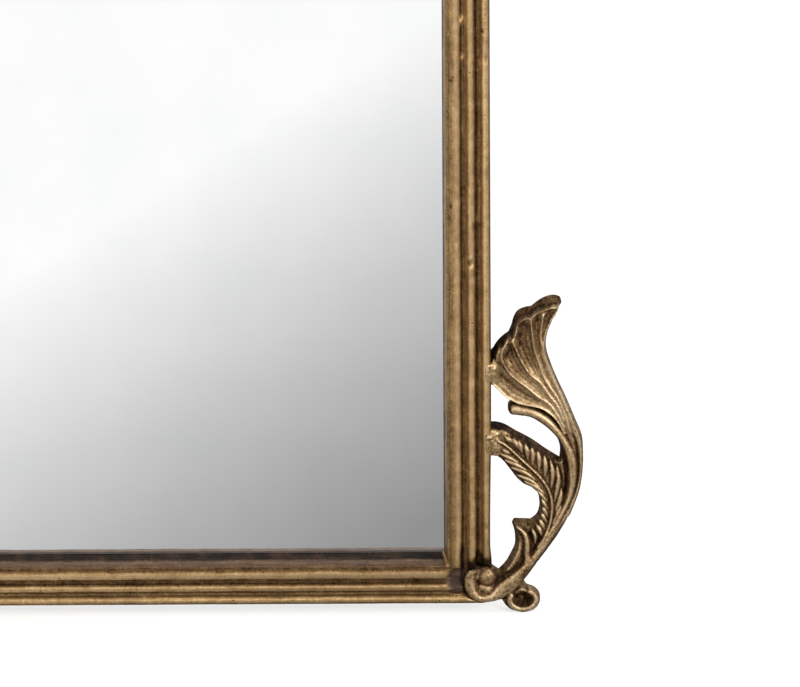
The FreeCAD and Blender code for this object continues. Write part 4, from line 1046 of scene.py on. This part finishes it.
# %% Silvered glass
silvered, tree = new_material("silvered_float_glass")
place = add(tree, "ShaderNodeTexCoord").outputs["Object"]
# clouds of haze, about 90 mm across
haze = add(tree, "ShaderNodeTexNoise", {"Vector": place, "Scale": 1000 / 90, "Detail": 3})
blur = add(tree, "ShaderNodeMapRange", {"Value": haze, "To Min": 0.0, "To Max": 0.03})
tint = add(tree, "ShaderNodeValToRGB", {"Fac": haze}, stops=[(0.3, "#f8f9f9"), (0.7, "#fefefe")])
shader = add(tree, "ShaderNodeBsdfPrincipled", {"Base Color": tint, "Roughness": blur, "Metallic": 1.0})
add(tree, "ShaderNodeOutputMaterial", {"Surface": shader})


def dress(material, *names):
    """Gives CAD nodes a finish."""
    for name in names:
        slots = nodes[name].data.materials
        slots.clear()
        slots.append(material)


dress(silvered, "mirror_glass")
print("glass finish:", silvered.name)

# %% [markdown]
# ## Finishes behind the glass
# The back is plain workshop stuff: zinc-plated steel, brown hardboard, black rubber, and
# foam and tape that hardly show. Each still has the grain that its making leaves, so
# that the back looks right when the mirror is turned round. One function makes a finish
# from two tones, a grain size and a gloss, because they only differ in those.

# %% Plain finishes


def plain_finish(name, dark, light, grain_mm, stretch, rough, metallic, relief):
    """A finish with two tones mixed by a grain; stretch draws the grain out along an axis."""
    material, tree = new_material(name)
    place = add(tree, "ShaderNodeTexCoord").outputs["Object"]
    drawn = add(tree, "ShaderNodeMapping", {"Vector": place, "Scale": stretch})
    grain = add(tree, "ShaderNodeTexNoise", {
        "Vector": drawn, "Scale": 1000 / grain_mm, "Detail": 5, "Roughness": 0.6})
    tone = add(tree, "ShaderNodeValToRGB", {"Fac": grain}, stops=[(0.3, dark), (0.7, light)])
    gloss = add(tree, "ShaderNodeMapRange", {"Value": grain, "To Min": rough - 0.08, "To Max": rough + 0.08})
    bump = add(tree, "ShaderNodeBump", {"Height": grain, "Strength": relief, "Distance": 0.0003})
    shader = add(tree, "ShaderNodeBsdfPrincipled", {
        "Base Color": tone, "Roughness": gloss, "Normal": bump, "Metallic": metallic})
    add(tree, "ShaderNodeOutputMaterial", {"Surface": shader})
    return material


# zinc plating dries in bluish crystals of a few millimetres, with a satin gloss
zinc = plain_finish("zinc_plated_steel", "#8f949b", "#c3c7c9", 2.5, (1, 1, 1), 0.36, 1.0, 0.1)
# hardboard is pressed wood fibre: fine brown flecks, matt, with a faint sheen from the press
hardboard = plain_finish("pressed_hardboard", "#5d4029", "#86643f", 1.6, (1, 1, 0.45), 0.62, 0.0, 0.3)
# moulded rubber is nearly black and matt, with the fine skin of its mould
rubber = plain_finish("moulded_rubber", "#141414", "#232322", 0.8, (1, 1, 1), 0.72, 0.0, 0.25)
# foam tape and closed-cell foam have open pores at their cut faces and no gloss
tape = plain_finish("black_foam_tape", "#101010", "#1c1c1c", 0.6, (1, 1, 1), 0.85, 0.0, 0.4)
foam = plain_finish("closed_cell_foam", "#cfcfca", "#e6e6e2", 0.9, (1, 1, 1), 0.9, 0.0, 0.4)
slot_finish = {"zinc_steel": zinc, "hardboard": hardboard, "rubber": rubber, "black_tape": tape, "foam": foam}
for part in frame["record"]["subparts"]:
    if part["material_slot"] in slot_finish:
        dress(slot_finish[part["material_slot"]], part["node"])
print("plain finishes:", len(slot_finish))

# %% [markdown]
# ## Screws at the back
# The braces, turn buttons, straps and brackets are held by pan-head screws with a cross
# recess. A screw is one shape at many places, so a node tree makes it once and sets a copy
# on each point. A point is the seat of one head, in line with the tip of that screw in the
# fixed frame. Each screw gets its own turn, because nobody drives all of them to the same
# angle.

# %% The screw tree
screw_tree, given = new_tree("pan_head_screws", "Screws", (
    ("Places", "Object"), ("Head Radius", "Float"), ("Head Height", "Float"), ("Shank Radius", "Float"),
    ("Length", "Float"), ("Finish", "Material"), ("Seed", "Int")))
radius, height = given["Head Radius"], given["Head Height"]
HEAD_PARTS = {"under": (height, -1.0), "wide": (radius, 3.0), "deep": (height, 2.0), "arm": (radius, 0.28)}
part = {}
for name, (size, factor) in HEAD_PARTS.items():
    part[name] = add(screw_tree, "ShaderNodeMath", {0: size, 1: factor}, operation="MULTIPLY")
# the head is a flattened ball cut off at its underside
ball = add(screw_tree, "GeometryNodeMeshUVSphere", {"Segments": 28, "Rings": 14, "Radius": 1.0})
bulge = add(screw_tree, "ShaderNodeCombineXYZ", {"X": radius, "Y": radius, "Z": height})
dome = add(screw_tree, "GeometryNodeTransform", {"Geometry": ball, "Scale": bulge})
below = add(screw_tree, "ShaderNodeCombineXYZ", {"Z": part["under"]})
cut_size = add(screw_tree, "ShaderNodeCombineXYZ", {"X": part["wide"], "Y": part["wide"], "Z": part["deep"]})
block = add(screw_tree, "GeometryNodeMeshCube", {"Size": cut_size})
lowered = add(screw_tree, "GeometryNodeTransform", {"Geometry": block, "Translation": below})
# two bars cut the cross recess
bar_size = add(screw_tree, "ShaderNodeCombineXYZ", {"X": radius, "Y": part["arm"], "Z": height})
bar = add(screw_tree, "GeometryNodeMeshCube", {"Size": bar_size})
raised = add(screw_tree, "ShaderNodeCombineXYZ", {"Z": height})
one_bar = add(screw_tree, "GeometryNodeTransform", {"Geometry": bar, "Translation": raised})
other_bar = add(screw_tree, "GeometryNodeTransform", {"Geometry": one_bar, "Rotation": (0, 0, math.pi / 2)})
head = add(screw_tree, "GeometryNodeMeshBoolean", {"Mesh 1": dome, "Mesh 2": lowered}, operation="DIFFERENCE")
for cutter in (one_bar, other_bar):
    screw_tree.links.new(cutter.outputs[0], head.inputs["Mesh 2"])
# the shank starts inside the head and tapers to a point
shank = add(screw_tree, "GeometryNodeMeshCone", {
    "Vertices": 16, "Radius Top": 0.0004, "Radius Bottom": given["Shank Radius"], "Depth": given["Length"]})
flipped = add(screw_tree, "GeometryNodeTransform", {"Geometry": shank, "Rotation": (math.pi, 0, 0)})
screw = add(screw_tree, "GeometryNodeJoinGeometry", {0: head})
screw_tree.links.new(flipped.outputs[0], screw.inputs[0])
# heads look backwards, along +Y
backwards = add(screw_tree, "GeometryNodeTransform", {"Geometry": screw, "Rotation": (-math.pi / 2, 0, 0)})
places = add(screw_tree, "GeometryNodeObjectInfo", {"Object": given["Places"]})
turned = add(screw_tree, "FunctionNodeRandomValue", {2: 0.0, 3: math.pi / 2, "Seed": given["Seed"]})
spin = add(screw_tree, "ShaderNodeCombineXYZ", {"Y": turned.outputs[1]})
copies = add(screw_tree, "GeometryNodeInstanceOnPoints", {
    "Points": places.outputs["Geometry"], "Instance": backwards, "Rotation": spin})
solid = add(screw_tree, "GeometryNodeRealizeInstances", {"Geometry": copies})
finished = add(screw_tree, "GeometryNodeSetMaterial", {"Geometry": solid, "Material": given["Finish"]})
add(screw_tree, "NodeGroupOutput", {"Screws": finished})
print("nodes in the screw tree:", len(screw_tree.nodes))

# %% Set the screws
# head radius, head height, shank radius and length
SMALL_SCREW, BRACKET_SCREW = (3.2, 2.0, 1.7, 13.5), (3.5, 2.4, 1.95, 23.5)
SCREWS = [("corner_brace_screws", SMALL_SCREW), ("turn_button_screws", SMALL_SCREW),
          ("hanger_screws", SMALL_SCREW), ("leaf_bracket_screws", BRACKET_SCREW)]


def screw_seats(node, head_height):
    """Where the underside of each head sits: in line with the screw's tip."""
    spots = points_of(nodes[node].data) / MM
    tips = spots[spots[:, 1] < spots[:, 1].min() + 0.05]
    axes = np.unique(np.round(tips[:, [0, 2]], 1), axis=0)
    return [(x * MM, (spots[:, 1].max() - head_height) * MM, z * MM) for x, z in axes]


for seed, (node, size) in enumerate(SCREWS):
    seats = bpy.data.meshes.new(node + "_seats")
    seats.from_pydata(screw_seats(node, size[1]), [], [])
    holder = put(node + "_seats", seats)
    lengths = [value * MM for value in size]
    sizes = dict(zip(("Head Radius", "Head Height", "Shank Radius", "Length"), lengths))
    mesh = grown_mesh("domed_" + node, screw_tree, {"Places": holder, "Finish": zinc, "Seed": seed, **sizes})
    bpy.data.objects.remove(holder)
    piece = show(mesh, "domed_" + node, "mirror", node)
    print(piece.name, "screws:", len(seats.vertices), "faces:", len(mesh.polygons))

# %% [markdown]
# ## Studio
# The photograph has a white ground. A pale floor takes the light and keeps the shadow, and
# for rays that come from the camera it glows up to white. Seen in a mirror it glows with a
# painted shadow, white far out and greyer towards the mirror's lower right corner. The light is
# soft: a dim white room, one wide lamp in front on the right, and a weaker one on the left.

# %% Floor and room
studio, tree = new_material("pale_studio_floor")
place = add(tree, "ShaderNodeTexCoord").outputs["Object"]
seen = add(tree, "ShaderNodeLightPath").outputs
direct = add(tree, "ShaderNodeMath", {
    0: seen["Is Camera Ray"], 1: seen["Is Transmission Ray"]}, operation="MAXIMUM")
# what the glass shows of the floor: a glowing painted shadow, white far out on the left, greyer towards the
# lower right corner
SHADE_WAY, SHADE_START = (-1.441, -0.7036, 0), 0.331
slant = add(tree, "ShaderNodeVectorMath", {0: place, 1: SHADE_WAY}, operation="DOT_PRODUCT")
lightness = add(tree, "ShaderNodeMath", {
    0: slant.outputs["Value"], 1: SHADE_START}, operation="ADD", use_clamp=True)
GREYS = [(0.0, "#929292"), (0.25, "#aeaeae"), (0.5, "#cacaca"), (0.75, "#e6e6e6"), (1.0, "#ffffff")]
shade = add(tree, "ShaderNodeValToRGB", {"Fac": lightness}, stops=GREYS)
matt = add(tree, "ShaderNodeBsdfDiffuse", {"Color": linear("#e6e6e4")})
glow = add(tree, "ShaderNodeEmission", {"Color": linear("#ffffff"), "Strength": 0.66})
lit = add(tree, "ShaderNodeAddShader", {0: matt, 1: glow})
# the floor seen in a mirror glows with this painted shadow
reflected_painted_shadow = add(tree, "ShaderNodeEmission", {"Color": shade})
camera_view = add(tree, "ShaderNodeMixShader", {0: direct, 1: matt, 2: lit})
all_views = add(tree, "ShaderNodeMixShader", {0: seen["Is Glossy Ray"], 1: camera_view, 2: reflected_painted_shadow})
add(tree, "ShaderNodeOutputMaterial", {"Surface": all_views})

FLOOR_HALF = 30
floor_mesh = bpy.data.meshes.new("studio_floor")
floor_corners = [(x * FLOOR_HALF, y * FLOOR_HALF, 0) for x, y in ((-1, -1), (1, -1), (1, 1), (-1, 1))]
floor_mesh.from_pydata(floor_corners, [], [(0, 1, 2, 3)])
floor_mesh.materials.append(studio)
floor = put("studio_floor", floor_mesh)

world = bpy.data.worlds.new("studio_room")
bpy.context.scene.world = world
world.use_nodes = True
tree = world.node_tree
tree.nodes.clear()
seen = add(tree, "ShaderNodeLightPath").outputs
dim = add(tree, "ShaderNodeBackground", {"Color": linear("#ffffff"), "Strength": 0.5})
white = add(tree, "ShaderNodeBackground", {"Color": linear("#ffffff"), "Strength": 1.0})
direct = add(tree, "ShaderNodeMath", {
    0: seen["Is Camera Ray"], 1: seen["Is Transmission Ray"]}, operation="MAXIMUM")
shown = add(tree, "ShaderNodeMath", {0: direct, 1: seen["Is Glossy Ray"]}, operation="MAXIMUM")
room = add(tree, "ShaderNodeMixShader", {0: shown, 1: dim, 2: white})
add(tree, "ShaderNodeOutputWorld", {"Surface": room})
print("stage:", floor.name)

# %% Lamps
TARGET = Vector((0.3039, -0.01385, 0.2398))


def facing_away(place, behind):
    """The matrix of a lamp or camera at a place, with its back turned to behind."""
    return Matrix.Translation(place) @ behind.to_track_quat("Z", "Y").to_matrix().to_4x4()


def lamp(name, place, size, power):
    """A square soft box that faces the mirror's lower corner."""
    light = bpy.data.lights.new(name, "AREA")
    light.shape, light.size, light.energy = "SQUARE", size, power
    holder = put(name, light)
    holder.matrix_world = facing_away(place, Vector(place) - TARGET)
    return holder


lamps = [lamp("key_lamp", (2.6, -2.6, 1.5), 1.2, 50), lamp("fill_lamp", (-2.4, -3.0, 1.2), 1.6, 12)]
print("lamps:", [each.name for each in lamps])

# %% [markdown]
# ## Camera
# The picture was taken from straight in front, about 18 degrees above the horizon, from far
# away with a long lens, and the camera was turned by a third of a degree. The picture is
# 800 pixels wide, and 1.195 of them make a millimetre of the mirror.

# %% Place the camera
ELEVATION, DISTANCE, ROLL = math.radians(18.5), 20.0, math.radians(-0.3)
PIXELS_PER_METRE, PICTURE_WIDTH = 1195.0, 800
towards = Vector((0, math.cos(ELEVATION), -math.sin(ELEVATION)))
lens = bpy.data.cameras.new("photo_camera")
lens.sensor_fit, lens.sensor_width = "HORIZONTAL", 36
lens.lens = DISTANCE * PIXELS_PER_METRE / PICTURE_WIDTH * lens.sensor_width
lens.clip_end = 100
camera = put("photo_camera", lens)
camera.matrix_world = facing_away(TARGET - towards * DISTANCE, -towards) @ Matrix.Rotation(ROLL, 4, "Z")
bpy.context.scene.camera = camera
bpy.context.scene.view_settings.view_transform = "Standard"
print("lens:", round(lens.lens, 1))
